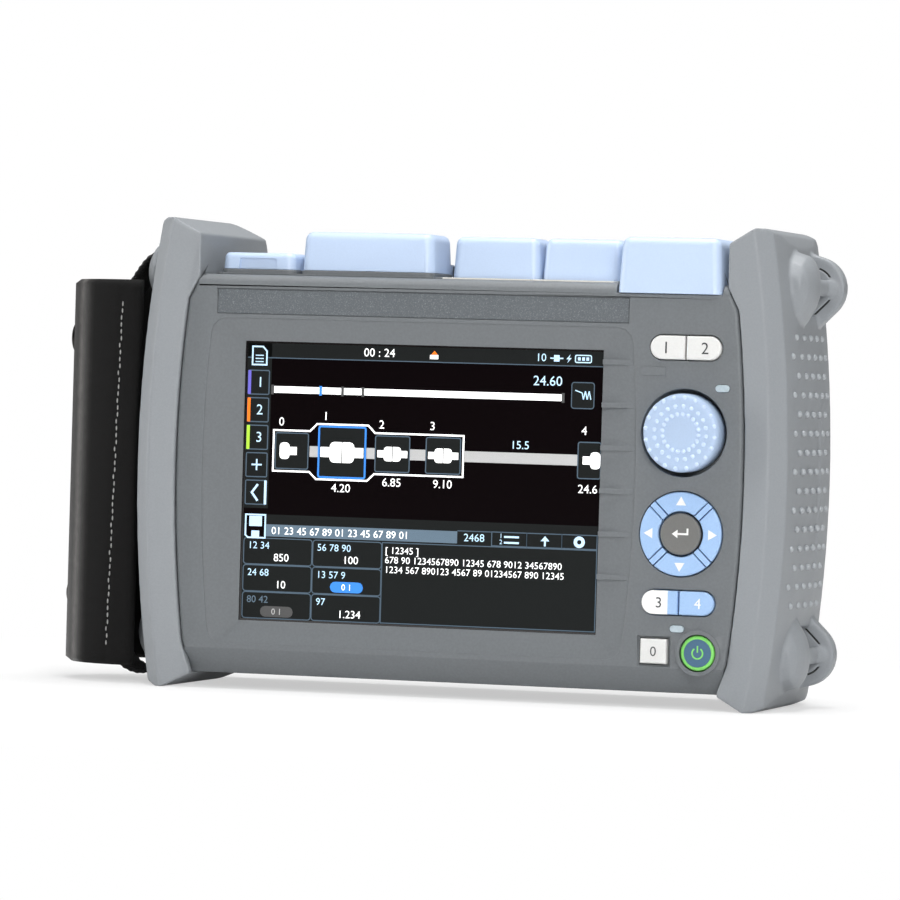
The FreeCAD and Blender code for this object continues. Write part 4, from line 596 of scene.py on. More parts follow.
class Picture:
    """The lit picture: flat shapes in millimetres across and down from its upper left corner."""

    def __init__(self):
        low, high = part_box("touch_panel")
        self.corner = Vector((low.x + PICTURE_MARGIN, low.y - PICTURE_LIFT, high.z - PICTURE_MARGIN))
        self.shapes = {}

    def spot(self, u, v, level):
        return self.corner + Vector((u * MM, -level * LEVEL_STEP, -v * MM))

    def outline(self, colour, points, level):
        bm = self.shapes.setdefault(colour, bmesh.new())
        facing(bm, [bm.verts.new(self.spot(u, v, level)) for u, v in points], FRONT)

    def bar(self, colour, u0, v0, u1, v1, level):
        self.outline(colour, rounded(u0, v0, u1, v1), level)

    def bars(self, *rows):
        for row in rows:
            self.bar(*row)

    def ring(self, colour, points, width, level):
        """A closed line of that width along the points, centred on it."""
        count = len(points)
        outer, inner = [], []
        for k in range(count):
            before, here, after = (Vector(points[(k + d) % count]) for d in (-1, 0, 1))
            first, second = (here - before).normalized(), (after - here).normalized()
            normals = [Vector((d.y, -d.x)) for d in (first, second)]
            mitre = (normals[0] + normals[1]).normalized()
            mitre *= width / 2 / max(0.3, mitre.dot(normals[0]))
            outer.append(here + mitre)
            inner.append(here - mitre)
        for k in range(count):
            j = (k + 1) % count
            self.outline(colour, [outer[k], outer[j], inner[j], inner[k]], level)

    def frame(self, colour, u0, v0, u1, v1, width, level, corner=0.0):
        self.ring(colour, rounded(u0, v0, u1, v1, corner), width, level)

    def disc(self, colour, u, v, radius, level):
        turns = [2 * math.pi * k / 24 for k in range(24)]
        self.outline(colour, [(u + radius * math.cos(a), v + radius * math.sin(a)) for a in turns], level)

    def number(self, colour, text, u, v, size, level=4, align="CENTER"):
        """Digits whose baseline starts, centres or ends at (u, v)."""
        mesh = text_mesh(text, size, align)
        mesh.transform(Matrix.Translation(self.spot(u, v, level)) @ TO_FRONT)
        self.shapes.setdefault(colour, bmesh.new()).from_mesh(mesh)
        bpy.data.meshes.remove(mesh)

    def numbers(self, colour, size, *rows, level=4):
        for text, u, v in rows:
            self.number(colour, text, u, v, size, level)

    def finish(self):
        for colour, bm in self.shapes.items():
            dress(from_bmesh(f"picture_{colour}", bm), "screen_glass", "case", finish=f"picture_{colour}")


def rounded(u0, v0, u1, v1, corner=0.0):
    """Outline of a rectangle, with its corners cut round if corner is above 0."""
    if corner <= 0:
        return [(u0, v1), (u1, v1), (u1, v0), (u0, v0)]
    return corner_arcs(u0, u1, v0, v1, corner, 3)


def text_mesh(text, size, align="CENTER"):
    """Text lying flat, size millimetres high, as a mesh."""
    curve = bpy.data.curves.new("digits", "FONT")
    curve.body = text
    curve.size = size * MM / LETTER_SHARE
    curve.align_x = align
    curve.resolution_u = 3
    return curve_mesh(curve)


def coupling(picture, u, v, scale, half=0):
    """Sign of two plugs that meet, or of one plug when half is -1 or 1."""
    stub, body, tall, thin = 6.3 * scale, 3.6 * scale, 2.9 * scale, 1.4 * scale
    left, right = (0 if half > 0 else 1), (0 if half < 0 else 1)
    picture.bar("white", u - left * stub, v - thin, u + right * stub, v + thin, 4)
    picture.outline("white", rounded(u - left * body, v - tall, u + right * body, v + tall, 1.3 * scale), 5)
    if not half:
        picture.bar("dark", u - 0.15, v - tall, u + 0.15, v + tall, 6)


def tool_column(picture):
    """Column of boxes at the left edge, with coloured tabs and plain numbers."""
    picture.bar("panel", 0.6, 0.6, 8.6, 52.5, 1)
    for k, tab in enumerate(("violet", "orange", "green", None, None)):
        top = 9.2 + 8.65 * k
        picture.bar("panel", 1.0, top, 7.9, top + 7.5, 2)
        picture.frame("line", 1.0, top, 7.9, top + 7.5, 0.35, 3, 0.4)
        if tab:
            picture.bar(tab, 0.9, top, 1.9, top + 7.5, 5)
            picture.number("pale", str(k + 1), 5.0, top + 5.2, 3.2, 5)
    picture.bars(("pale", 2.8, 38.6, 6.2, 39.1, 5), ("pale", 4.25, 37.1, 4.75, 40.6, 5),
                 ("pale", 7.2, 43.8, 8.0, 51.3, 5))
    picture.outline("pale", [(5.4, 45.2), (4.8, 44.8), (2.7, 47.6), (4.8, 50.4), (5.4, 50.0), (3.6, 47.6)], 5)
    page = [(2.2, 7.4), (6.9, 7.4), (6.9, 3.1), (5.6, 1.7), (2.2, 1.7)]
    picture.outline("panel", page, 3)
    picture.ring("pale", page, 0.5, 4)
    picture.bars(*(("pale", 3.2, 4.3 + row, 5.9, 4.6 + row, 5) for row in range(3)))


def status_bar(picture):
    """Strip along the top: digits, a small arrow in a tray, a battery and two more plain signs."""
    picture.bars(("panel", 0.6, 0.6, 116.6, 5.0, 1), ("line", 0.6, 5.0, 116.6, 5.3, 2),
                 ("white", 60.5, 2.9, 63.2, 4.2, 4))
    picture.number("white", "00 : 24", 44.0, 3.9, 2.6)
    picture.outline("orange", [(60.9, 2.8), (63.0, 2.8), (61.95, 1.6)], 5)
    picture.number("pale", "10", 96.5, 3.9, 2.4)
    picture.bars(("pale", 99.4, 2.7, 103.6, 3.1, 5), ("pale", 100.6, 1.9, 102.4, 3.9, 5))
    picture.frame("pale", 107.5, 1.8, 112.6, 4.0, 0.35, 4, 0.4)
    picture.bars(*(("pale", 108.3 + 1.35 * k, 2.4, 109.2 + 1.35 * k, 3.4, 5) for k in range(3)))
    flash = [(105.9, 1.6), (104.6, 3.1), (105.4, 3.1), (104.9, 4.3), (106.3, 2.7), (105.5, 2.7)]
    picture.outline("pale", flash, 5)


def distance_line(picture):
    """Long scale with its ticks, the number beside it, and the box at its right."""
    picture.bar("white", 9.6, 14.0, 103.4, 16.1, 2)
    for u, colour in ((9.1, "dark"), (25.0, "blue"), (32.2, "dark"), (38.9, "dark"), (103.9, "dark")):
        picture.bar(colour, u - 0.45, 13.6, u + 0.45, 16.6, 3)
    picture.number("pale", "24.60", 103.6, 11.4, 3.0, align="RIGHT")
    picture.outline("panel", rounded(106.6, 10.2, 113.8, 18.2, 0.8), 2)
    picture.frame("line", 106.6, 10.2, 113.8, 18.2, 0.3, 3, 0.8)
    trace = [Vector(p) for p in ((107.7, 12.6), (110.0, 13.4), (110.4, 15.4), (111.0, 12.8), (111.6, 15.4),
                                 (112.2, 12.8), (112.8, 15.4))]
    for a, b in zip(trace, trace[1:]):
        side = (b - a).normalized().orthogonal() * 0.16
        picture.outline("pale", [a + side, a - side, b - side, b + side], 5)


def link_row(picture):
    """Row of joined links, the first group in a white outline and one of it marked blue."""
    middle = 34.2
    for u0, u1 in ((21.9, 24.6), (40.6, 43.3), (54.8, 59.9), (72.6, 109.0)):
        picture.bar("grey", u0, middle - 1.7, u1, middle + 1.7, 2)
    group = [(9.9, 40.6), (21.9, 40.6), (24.2, 42.8), (41.0, 42.8), (43.3, 40.6), (72.2, 40.6), (72.2, 27.8),
             (43.3, 27.8), (41.0, 25.5), (24.2, 25.5), (21.9, 27.8), (9.9, 27.8)]
    picture.ring("white", group, 0.55, 2)
    for u0, u1 in ((10.6, 21.4), (43.5, 54.7), (60.1, 71.3), (109.2, 116.5)):
        picture.bar("panel", u0, 28.6, u1, 39.8, 2)
        picture.frame("line", u0, 28.6, u1, 39.8, 0.35, 3, 0.6)
    picture.bar("panel", 24.7, 26.0, 40.4, 42.3, 2)
    picture.frame("blue", 24.9, 26.2, 40.2, 42.1, 0.6, 3, 0.6)
    for u, scale, half in ((12.0, 0.9, 1), (32.55, 1.12, 0), (49.1, 0.78, 0), (65.7, 0.78, 0),
                           (116.4, 0.9, -1)):
        coupling(picture, u, middle, scale, half)
    picture.numbers("white", 2.6, ("0", 12.4, 26.3), ("1", 27.0, 24.2), ("2", 45.4, 26.3), ("3", 62.0, 26.3),
                    ("4", 111.0, 26.3), ("4.20", 32.5, 46.6), ("6.85", 49.1, 44.3), ("9.10", 65.7, 44.3),
                    ("24.6", 112.6, 44.3))
    picture.number("pale", "15.5", 90.5, 31.3, 2.5)


def message_strip(picture):
    """Line of digits behind a disk sign."""
    picture.bar("slate", 1.0, 57.5, 71.0, 61.3, 2)
    picture.number("white", "01 23 45 67 89 01 23 45 67 89 01", 10.0, 60.5, 2.3, align="LEFT")
    disk = [(1.4, 61.0), (2.2, 61.8), (7.9, 61.8), (7.9, 54.6), (1.4, 54.6)]
    picture.outline("black", disk, 3)
    picture.ring("pale", disk, 0.5, 4)
    picture.bars(("pale", 2.6, 55.0, 6.8, 58.2, 5), ("pale", 3.4, 59.6, 6.0, 61.6, 5))


def value_cells(picture):
    """Six cells, each with a row of digits over a number or a small two-way switch."""
    switches = {3: ("blue", "white"), 4: ("dark", "grey")}
    heads = ("12 34", "56 78 90", "24 68", "13 57 9", "80 42", "97")
    values = ("850", "100", "10", None, None, "1.234")
    for k, (head, value) in enumerate(zip(heads, values)):
        u0, v0 = 1.0 + 22.9 * (k % 2), 61.9 + 8.5 * (k // 2)
        picture.frame("line", u0, v0, u0 + 22.6, v0 + 8.2, 0.3, 2, 0.9)
        picture.number("slate" if k == 4 else "pale", head, u0 + 1.4, v0 + 3.3, 2.2, align="LEFT")
        if value:
            picture.number("white", value, u0 + 12.5, v0 + 7.1, 2.4)
        else:
            colour, digits = switches[k]
            picture.outline(colour, rounded(u0 + 6.0, v0 + 4.3, u0 + 16.8, v0 + 7.7, 1.6), 3)
            picture.number(digits, "0 1", u0 + 11.4, v0 + 6.9, 1.9, 5)


def value_table(picture):
    """Lower panel: message strip, cells, tabs and lines of digits."""
    picture.bar("panel", 0.6, 54.4, 116.6, 87.2, 1)
    message_strip(picture)
    value_cells(picture)
    picture.frame("line", 46.7, 61.9, 116.1, 87.0, 0.3, 2)
    for row, text in enumerate(("[ 12345 ]", "678 90 1234567890 12345 678 9012 34567890",
                                "1234 567 890123 4567 89 01234567 890 12345")):
        picture.number("white", text, 47.6, 65.3 + 3.0 * row, 2.1, align="LEFT")
    for k in range(3):
        picture.frame("line", 82.2 + 11.3 * k, 57.3, 93.5 + 11.3 * k, 61.6, 0.3, 3)
    picture.number("pale", "2468", 76.5, 60.5, 2.4)
    picture.numbers("pale", 1.4, ("1", 85.2, 59.1), ("2", 85.2, 61.0))
    picture.bars(("line", 71.0, 57.2, 82.2, 57.5, 3), ("pale", 86.2, 58.4, 91.0, 59.0, 4),
                 ("pale", 86.2, 60.2, 91.0, 60.8, 4), ("pale", 99.1, 59.6, 99.7, 61.2, 4))
    picture.outline("pale", [(98.0, 59.6), (100.8, 59.6), (99.4, 58.0)], 4)
    picture.disc("pale", 110.4, 59.5, 1.8, 4)
    picture.disc("panel", 110.4, 59.5, 0.7, 5)


def screen():
    glass = Finish("panel_glass", srgb(22, 19, 19), 0.12, coat=0.5)
    glass.mottle(6 * MM, 0.08)
    glass.grain(0.2 * MM, 0.001 * MM)
    paint("touch_panel", glass)
    picture = Picture()
    picture.bar("black", 0.6, 0.6, 116.6, 87.3, 0)
    for part in (status_bar, tool_column, distance_line, link_row, value_table):
        part(picture)
    picture.finish()


# ---- keys and dial
PRINT_LIFT = Vector((0, -0.03 * MM, 0))
KEYS = {
    "key_white": ("real_time_key", "average_key", "escape_key"),
    "key_blue": ("menu_key", "setup_key", "up_key", "down_key", "left_key", "right_key"),
    "key_grey": ("enter_key",),
}


def print_on(name, body, centre, mesh, slot, ink="print_white"):
    """A flat print on a front face: the mesh lies in the plane about its own origin."""
    mesh.transform(Matrix.Translation(centre + PRINT_LIFT) @ TO_FRONT)
    bm = bmesh.new()
    bm.from_mesh(mesh)
    bpy.data.meshes.remove(mesh)
    dress(from_bmesh(name, bm), slot, body, finish=ink)


def flat_shape(*outlines):
    """Closed outlines in millimetres as a flat mesh that faces up."""
    bm = bmesh.new()
    for points in outlines:
        facing(bm, [bm.verts.new((x * MM, y * MM, 0)) for x, y in points], UP)
    mesh = bpy.data.meshes.new("print")
    bm.to_mesh(mesh)
    bm.free()
    return mesh


def arc_band(radius, width, start, end, steps=24):
    """Ring sector between two angles in degrees, as one outline."""
    turns = [math.radians(start + (end - start) * k / steps) for k in range(steps + 1)]
    outer, inner = ([(edge * math.cos(a), edge * math.sin(a)) for a in turns]
                    for edge in (radius + width / 2, radius - width / 2))
    return outer + inner[::-1]


def keys():
    """Sprung keys in three colours with plain numbers, arrows and a return sign."""
    for slot, nodes in KEYS.items():
        for node in nodes:
            bevelled(node, slot, node, width=0.15, segments=2)
    bevelled("navigation_bridge", "key_blue", "case", width=0.12, segments=2)
    menu_field()
    for node, text, size in (("real_time_key", "1", 3.6), ("average_key", "2", 3.6), ("menu_key", "3", 3.2),
                             ("setup_key", "4", 3.2), ("escape_key", "0", 3.0)):
        slot, ink = ("key_blue", "print_white") if node == "setup_key" else ("key_white", "print_ink")
        mesh = text_mesh(text, size)
        mesh.transform(Matrix.Translation((0, -size * MM / 2, 0)))
        print_on(f"{node}_print", node, front_of(node), mesh, slot, ink)
    for node, turn in (("up_key", 90), ("left_key", 180), ("down_key", 270), ("right_key", 0)):
        triangle = flat_shape([(2.25, 0), (-0.5, 1.6), (-0.5, -1.6)])
        triangle.transform(Matrix.Rotation(math.radians(turn), 4, "Z"))
        print_on(f"{node}_arrow", node, front_of(node), triangle, "key_blue")
    corner = flat_shape([(-1.0, -0.25), (2.6, -0.25), (2.6, 1.8), (2.0, 1.8), (2.0, 0.35), (-1.0, 0.35)],
                        [(-2.6, 0.05), (-0.8, 1.35), (-0.8, -1.25)])
    print_on("enter_key_arrow", "enter_key", front_of("enter_key"), corner, "key_grey")


def menu_field():
    """White field on the lower left key, round at its left end, just under the key's number."""
    low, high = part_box("menu_key")
    half, tall = (high.x - low.x) / 2 / MM - 0.5, (high.z - low.z) / 2 / MM - 0.9
    straight_end = half - 2.6
    turns = [math.radians(a) for a in range(90, 271, 15)]
    field = [(straight_end, -tall), (straight_end, tall)]
    field += [(tall * math.cos(a) + tall - half, tall * math.sin(a)) for a in turns]
    place = front_of("menu_key") + Vector((0, 0.015 * MM, 0))
    print_on("menu_key_field", "menu_key", place, flat_shape(field), "key_white")


def power_button():
    bevelled("power_ring", "ring_green", "power_key", width=0.12, segments=2)
    bevelled("power_disc", "disc_slate", "power_key", width=0.1, segments=2)
    stroke = [(-0.23, 0.25), (0.23, 0.25), (0.23, 2.3), (-0.23, 2.3)]
    symbol = flat_shape(arc_band(1.66, 0.46, 125, 415), stroke)
    print_on("power_symbol", "power_key", front_of("power_disc"), symbol, "ring_green", "ring_green")


def dial():
    """Turned knob with a dished face, a rolled rim and three rings of small domes."""
    low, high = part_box("dial_knob")
    centre = front_of("dial_knob")
    radius, depth = (high.x - low.x) / 2 / MM, (high.y - low.y) / MM
    profile = [(0, 0.95), (4.0, 0.9), (4.9, 0.85), (7.5, 0.7), (9.4, 0.5), (10.2, 0.42), (10.9, 0.5),
               (11.4, 0.8), (11.8, 1.35), (12.0, 2.1), (radius, 3.0), (radius, depth), (3.0, depth)]
    dress(lathe("dial_turned", profile, centre, 96), "dial_blue", "dial", ("dial_knob",))
    turns = [math.radians(6 + 18 * k) for k in range(20)]
    points = [centre + Vector((ring * math.sin(a), sink, ring * math.cos(a))) * MM
              for ring, sink in ((5.76, 0.86), (8.2, 0.7), (10.97, 0.58)) for a in turns]
    # The domes take the lighter blue, whose colour is a painted highlight.
    repeat_at("dial_domes", points, dome_form, "dial_blue", "dial", finish="dome_blue_painted_highlight", radius=0.74 * MM,
              scale=(1.0, 0.78, 1.0))


def lathe(name, profile, centre, steps):
    """Turns (radius, depth) points, in millimetres, about centre along Y; the first one is on the axis."""
    bm = bmesh.new()
    tip = bm.verts.new(centre + Vector((0, profile[0][1], 0)) * MM)
    turns = [2 * math.pi * k / steps for k in range(steps)]
    rings = [[bm.verts.new(centre + Vector((radius * math.cos(a), depth, radius * math.sin(a))) * MM)
              for a in turns] for radius, depth in profile[1:]]
    for k in range(steps):
        bm.faces.new([tip, rings[0][k], rings[0][(k + 1) % steps]])
    skin(bm, rings)
    bm.faces.new(rings[-1])
    return outwards(name, bm, smooth=50.0)


# ---- connector covers
CORNER_STEPS, FILLET_STEPS = 6, 7
COVER_DRAFT = 3.0
COVER_WALL, KNUCKLE = 1.6 * MM, 1.9 * MM
PLINTH_LIFT = 1.2 * MM
# How far each cover's rim is raised, its corner radius and the rounding round its top.
COVERS = {
    "usb_cover": (PLINTH_LIFT, 2.8 * MM, 1.7 * MM),
    "port_cover_one": (PLINTH_LIFT, 3.2 * MM, 2.6 * MM),
    "port_cover_two": (0, 2.6 * MM, 2.4 * MM),
    "port_cover_three": (0, 2.6 * MM, 2.4 * MM),
    "power_meter_cover": (0, 2.8 * MM, 2.6 * MM),
}


def round_ring(bm, box, inset, corner, z):
    """Ring of a rectangle (x0, x1, y0, y1), drawn in by inset, with round corners at one height."""
    x0, x1, y0, y1 = box
    arcs = corner_arcs(x0 + inset, x1 - inset, y0 + inset, y1 - inset, corner, CORNER_STEPS)
    return [bm.verts.new((x, y, z)) for x, y in arcs]


def rounded_rings(bm, box, low, high, corner, fillet, draft):
    """Rings of a drafted block up its sides and over the rounding round its top."""
    smallest, flat = 0.3 * MM, 0.6 * MM
    straight = high - fillet - low
    side = math.tan(math.radians(draft)) * straight
    rings = [round_ring(bm, box, side * share, corner, low + share * straight)
             for share in (0.0, 0.03, 0.97, 1.0)]
    for step in range(1, FILLET_STEPS + 1):
        turn = math.radians(90 * step / FILLET_STEPS)
        inwards = fillet * (1 - math.cos(turn))
        rings.append(round_ring(bm, box, side + inwards, max(smallest, corner - inwards),
                                high - fillet * (1 - math.sin(turn))))
    rings.append(round_ring(bm, box, side + fillet + flat, max(smallest, corner - fillet - flat / 2), high))
    return rings


def cover(node, lift, corner, fillet):
    """Hollow flip cover with soft drafted sides and its hinge knuckle; lift raises its rim."""
    hinge_room, overlap, side_play = 5.3 * MM, 1.2 * MM, 1 * MM
    low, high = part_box(node)
    pin = centre_of("hinge_pin_rod")
    box = (low.x, high.x, low.y, high.y - hinge_room)
    hollow = (box[0] + COVER_WALL, box[1] - COVER_WALL, box[2] + COVER_WALL, box[3] - COVER_WALL)
    bm = bmesh.new()
    outer = rounded_rings(bm, box, low.z + lift, high.z, corner, fillet, COVER_DRAFT)
    inner = rounded_rings(bm, hollow, low.z + lift, high.z - COVER_WALL, 1.0 * MM, 0.6 * MM, COVER_DRAFT)
    skin(bm, outer[::-1] + inner, capped=True)
    turns = [math.radians(-90 + 15 * k) for k in range(13)]
    profile = [(pin.y + KNUCKLE * math.cos(t), pin.z + KNUCKLE * math.sin(t)) for t in turns]
    profile += [(box[3] - overlap, pin.z + KNUCKLE), (box[3] - overlap, pin.z - KNUCKLE)]
    ends = [[bm.verts.new((x, y, z)) for y, z in profile] for x in (low.x + side_play, high.x - side_play)]
    skin(bm, ends, capped=True)
    obj = outwards(f"{node}_moulding", bm, smooth=40.0)
    if node == "usb_cover":
        cut_thumb_notch(obj, low, high, lift)
    modify(obj, "WEIGHTED_NORMAL", keep_sharp=True)
    dress(obj, "cover_blue", node, (node,))


def cut_thumb_notch(obj, low, high, lift):
    """Shallow notch with round corners in the front of the low cover."""
    half, depth, tall, corner, steps = 6.2 * MM, 0.9 * MM, 3.4 * MM, 0.8 * MM, 4
    below, before = 1 * MM, 2 * MM
    middle = (low.x + high.x) / 2
    bottom, top = low.z + lift - below, low.z + lift + tall
    arcs = corner_arcs(middle - half, middle + half, bottom, top, corner, steps)
    outline = [(middle - half, bottom), (middle + half, bottom)] + arcs[:2 * (steps + 1)]
    bm = bmesh.new()
    ends = [[bm.verts.new((x, y, z)) for x, z in outline] for y in (low.y - before, low.y + depth)]
    skin(bm, ends, capped=True)
    cutter = outwards("notch_cutter", bm)
    modify(obj, "BOOLEAN", operation="DIFFERENCE", object=cutter, solver="EXACT")
    bake_modifiers(obj)
    obj.data.set_sharp_from_angle(angle=math.radians(40))
    bpy.data.objects.remove(cutter)


def plinth():
    """Grey strips on the ledge: a round-cornered one under each left cover, a flat one under the others."""
    beside, before, behind = 0.3 * MM, 0.5 * MM, 5.6 * MM
    sunk, gap = 0.2 * MM, 0.15 * MM
    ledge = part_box("port_plinth")[0].z
    bm = bmesh.new()
    for node in ("usb_cover", "port_cover_one"):
        start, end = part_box(node)
        box = (start.x - beside, end.x + beside, start.y - before, end.y - behind)
        bottom, top = ledge - sunk, start.z + PLINTH_LIFT - gap
        skin(bm, rounded_rings(bm, box, bottom, top, 3.0 * MM, 0.25 * MM, draft=0.0), capped=True)
    obj = outwards("left_plinths", bm, smooth=40.0)
    modify(obj, "WEIGHTED_NORMAL", keep_sharp=True)
    dress(obj, "case_plastic", "case")
    bevelled("port_plinth", "case_plastic", "case", width=0.15, segments=2)


def covers():
    for node, sizes in COVERS.items():
        cover(node, *sizes)
    plinth()
    for node in ("label_plate_two", "label_plate_three"):
        bevelled(node, "plate_white", "case", width=0.1, segments=2)
    bevelled("hinge_rail", "case_plastic", "case", width=0.2)


# ---- hand strap
def strap_path(bends):
    """Smooth line through the strap's bends: a NURBS spline with the bends as control points."""
    curve = bpy.data.curves.new("route", "CURVE")
    curve.dimensions = "3D"
    curve.resolution_u = 24
    spline = curve.splines.new("NURBS")
    spline.points.add(len(bends) - 1)
    for control, (x, z) in zip(spline.points, bends):
        control.co = (x, 0, z, 1)
    spline.order_u = 3
    spline.use_endpoint_u = True
    return [v.co.copy() for v in curve_mesh(curve).vertices]


def resample(path, step):
    """Points every step along the path."""
    result, left = [path[0]], step
    for a, b in zip(path, path[1:]):
        run = (b - a).length
        while run > left:
            a = a + (b - a) * (left / run)
            result.append(a.copy())
            run = (b - a).length
            left = step
        left -= run
    return result


def webbing(name, node, bends):
    """Woven strap: a ribbon with thick selvedges and a raised weave, swept along its bends."""
    low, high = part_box(node)
    middle_y, half = (low.y + high.y) / 2, (high.y - low.y) / 2
    path = resample(strap_path(bends), 0.55 * MM)
    across, thickness, rim_share, rim_height, over, under = 22, 0.62, 0.1, 0.12, 0.14, -0.04
    bm = bmesh.new()
    layer = bm.loops.layers.uv.new("strap")
    rows = []
    for k, point in enumerate(path):
        ahead = (path[min(k + 1, len(path) - 1)] - path[max(k - 1, 0)]).normalized()
        normal = ahead.cross(Vector((0, 1, 0)))
        ring = []
        for side in (1, -1):
            for j in range(across + 1):
                t = side * (2 * j / across - 1)
                rim = 1 - (1 - abs(t)) / rim_share
                thick = thickness if rim < 0 else thickness * math.sqrt(max(0.0, 1 - rim ** 2)) + rim_height
                weave = over if (j + k // 2) % 2 else under
                place = Vector((point.x, middle_y + half * t, point.z))
                ring.append(bm.verts.new(place + normal * side * (thick + weave) * MM))
        rows.append(ring)
    count = len(rows[0])
    for k, (a, b) in enumerate(zip(rows, rows[1:])):
        for j in range(count):
            i = (j + 1) % count
            face = bm.faces.new([a[j], a[i], b[i], b[j]])
            for loop, (u, v) in zip(face.loops, ((j, k), (j + 1, k), (j + 1, k + 1), (j, k + 1))):
                loop[layer].uv = (u / across, v / across)
    bm.faces.new(rows[0])
    bm.faces.new(rows[-1])
    dress(outwards(name, bm, smooth=80.0), "webbing", "case", (node,))


def strap():
    """Both halves of the strap follow the same bends as the solids that they stand for."""
    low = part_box("strap_upper")[0].x
    x, bar, wrap = low + 0.85 * MM, low + 23.8 * MM, 3.85 * MM
    middle = (EAR_HIGH + EAR_LOW) / 2
    pad_low, pad_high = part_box("grip_pad")
    over, under = EAR_HIGH + wrap, EAR_LOW + wrap
    webbing("strap_upper_webbing", "strap_upper", [
        (x, middle), (x, EAR_HIGH - 26 * MM), (bar - 9.5 * MM, pad_high.z + 0.5 * MM),
        (bar - 3 * MM, over + 2.6 * MM), (bar + 2.2 * MM, over + 0.8 * MM),
        (bar + wrap + 0.6 * MM, EAR_HIGH - 1 * MM), (bar + 0.3 * MM, EAR_HIGH - wrap - 0.9 * MM)])
    webbing("strap_lower_webbing", "strap_lower", [
        (x, middle), (x, pad_low.z + 24 * MM), (bar - 13 * MM, pad_low.z + 1.2 * MM),
        (bar - 5 * MM, 2.4 * MM), (bar + 1.2 * MM, 4.0 * MM), (bar + wrap + 0.2 * MM, EAR_LOW - 3 * MM),
        (bar + wrap - 0.1 * MM, EAR_LOW + 2.9 * MM), (bar - 1.6 * MM, under + 0.7 * MM)])


def quarter_round(share):
    """Height of a quarter circle at that share of its width, and 1 beyond it."""
    return math.sqrt(max(0.0, 1 - (1 - min(1.0, share)) ** 2))


def grip():
    """Leather pad bent round the hand: crowned between two sewn lines, with rolled edges."""
    low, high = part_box("grip_pad")
    middle_y, depth, reach, tall = (low.y + high.y) / 2, (high.y - low.y) / 2, high.x - low.x, high.z - low.z
    thickness, end_roll, edge_roll, around, along = 4.6 * MM, 0.7 * MM, 2.0 * MM, 96, 90
    bend = (reach ** 2 + depth ** 2) / (2 * reach)
    centre_x = low.x + bend
    half_turn = math.pi - math.atan2(depth, high.x - centre_x)
    seam, seam_lean, seam_depth, seam_width = 0.86, 2.9 * MM / (bend * half_turn), 0.1, 0.016

    def bent(radius, s, v):
        """The point at s of the half turn from the middle, and at v of the height."""
        angle = math.pi - s * half_turn
        return (centre_x + radius * math.cos(angle), middle_y - radius * math.sin(angle), low.z + tall * v)

    bm = bmesh.new()
    rings = []
    for row in range(along + 1):
        v = row / along
        end_round = quarter_round(min(v, 1 - v) * tall / end_roll)
        ring = []
        for side in (1, -1):
            for k in range(around + 1):
                s = (2 * k / around - 1) * side
                edge_round = quarter_round((1 - abs(s)) * bend * half_turn / edge_roll)
                crown = 1 - seam_depth * math.exp(-((abs(s) - seam - seam_lean * (v - 1)) / seam_width) ** 2)
                half_thick = thickness / 2 * crown * (0.25 + 0.75 * end_round) * edge_round
                ring.append(bm.verts.new(bent(bend - thickness / 2 + side * half_thick, s, v)))
        rings.append(ring)
    skin(bm, rings, capped=True)
    bmesh.ops.remove_doubles(bm, verts=bm.verts, dist=0.002 * MM)
    pad = dress(outwards("grip_leather_pad", bm, smooth=60.0), "leather", "case", ("grip_pad",))
    count, first, pitch, sway, sunk = 50, 7.0 * MM, 2.2 * MM, 0.18 * MM, 0.12 * MM
    stitches = []
    for side in (1, -1):
        for k in range(count):
            v = (first + k * pitch) / tall
            wander = sway * math.sin(2.3 * k) * math.sin(0.61 * k)
            stitches.append(bent(bend - sunk, side * (seam + seam_lean * (v - 1) + wander / bend), v))
    repeat_at("grip_stitches", stitches, dome_form, "leather", "case", finish="sewing_thread",
              radius=0.24 * MM, scale=(1.0, 1.0, 3.2))
    bevelled("grip_snaps", "steel", "case", width=0.4, finish="snap_dark")


# ---- rear side and inner parts
def rear_side():
    """Battery door with three ribs, tilt stand, and the case's four screws."""
    bevelled("battery_door", "case_plastic", "battery_door", width=0.35)
    bevelled("tilt_stand", "case_plastic", "tilt_stand", width=0.5)
    screw_in, screw_up, sunk, rib_sunk, first_rib, rib_pitch = (d * MM for d in (13, 14, 0.1, 0.75, 7.0, 1.2))
    low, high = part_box("rear_cover")
    screws = [(x, high.y - sunk, z) for x in (low.x + screw_in, high.x - screw_in)
              for z in (low.z + screw_up, high.z - screw_up)]
    repeat_at("case_screws", screws, screw_form, "steel", "case", smooth=False, radius=2.7 * MM,
              depth=0.9 * MM)
    middle, top = centre_of("battery_door").x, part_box("battery_door")[1].z
    ribs = [(middle, high.y - rib_sunk, top - first_rib - rib_pitch * k) for k in range(3)]
    repeat_at("door_grip_ribs", ribs, dome_form, "case_plastic", "battery_door", radius=0.35 * MM,
              scale=(28.0, 1.0, 1.0))


INNER = {
    "metal": ("display_module", "optical_engine"),
    "steel": ("display_tray", "dial_shaft", "hinge_pin_rod", "data_socket"),
    "board_green": ("main_board", "key_board"),
    "black_plastic": ("key_switches", "encoder_housing", "encoder_plunger", "battery_pack"),
    "port_metal": ("optical_port_one", "optical_port_two", "optical_port_three", "optical_port_four"),
}


def inner_parts():
    for slot, nodes in INNER.items():
        for node in nodes:
            paint(node, FINISHES[slot])


# ---- stage and light
# The surroundings' strength as light, from below to above, and in reflections, from the front to the back.
AMBIENT = (0.02, 0.18)
MIRRORED = (0.06, 0.3)
LIGHT_AIM = Vector((0, 0, 0.07))
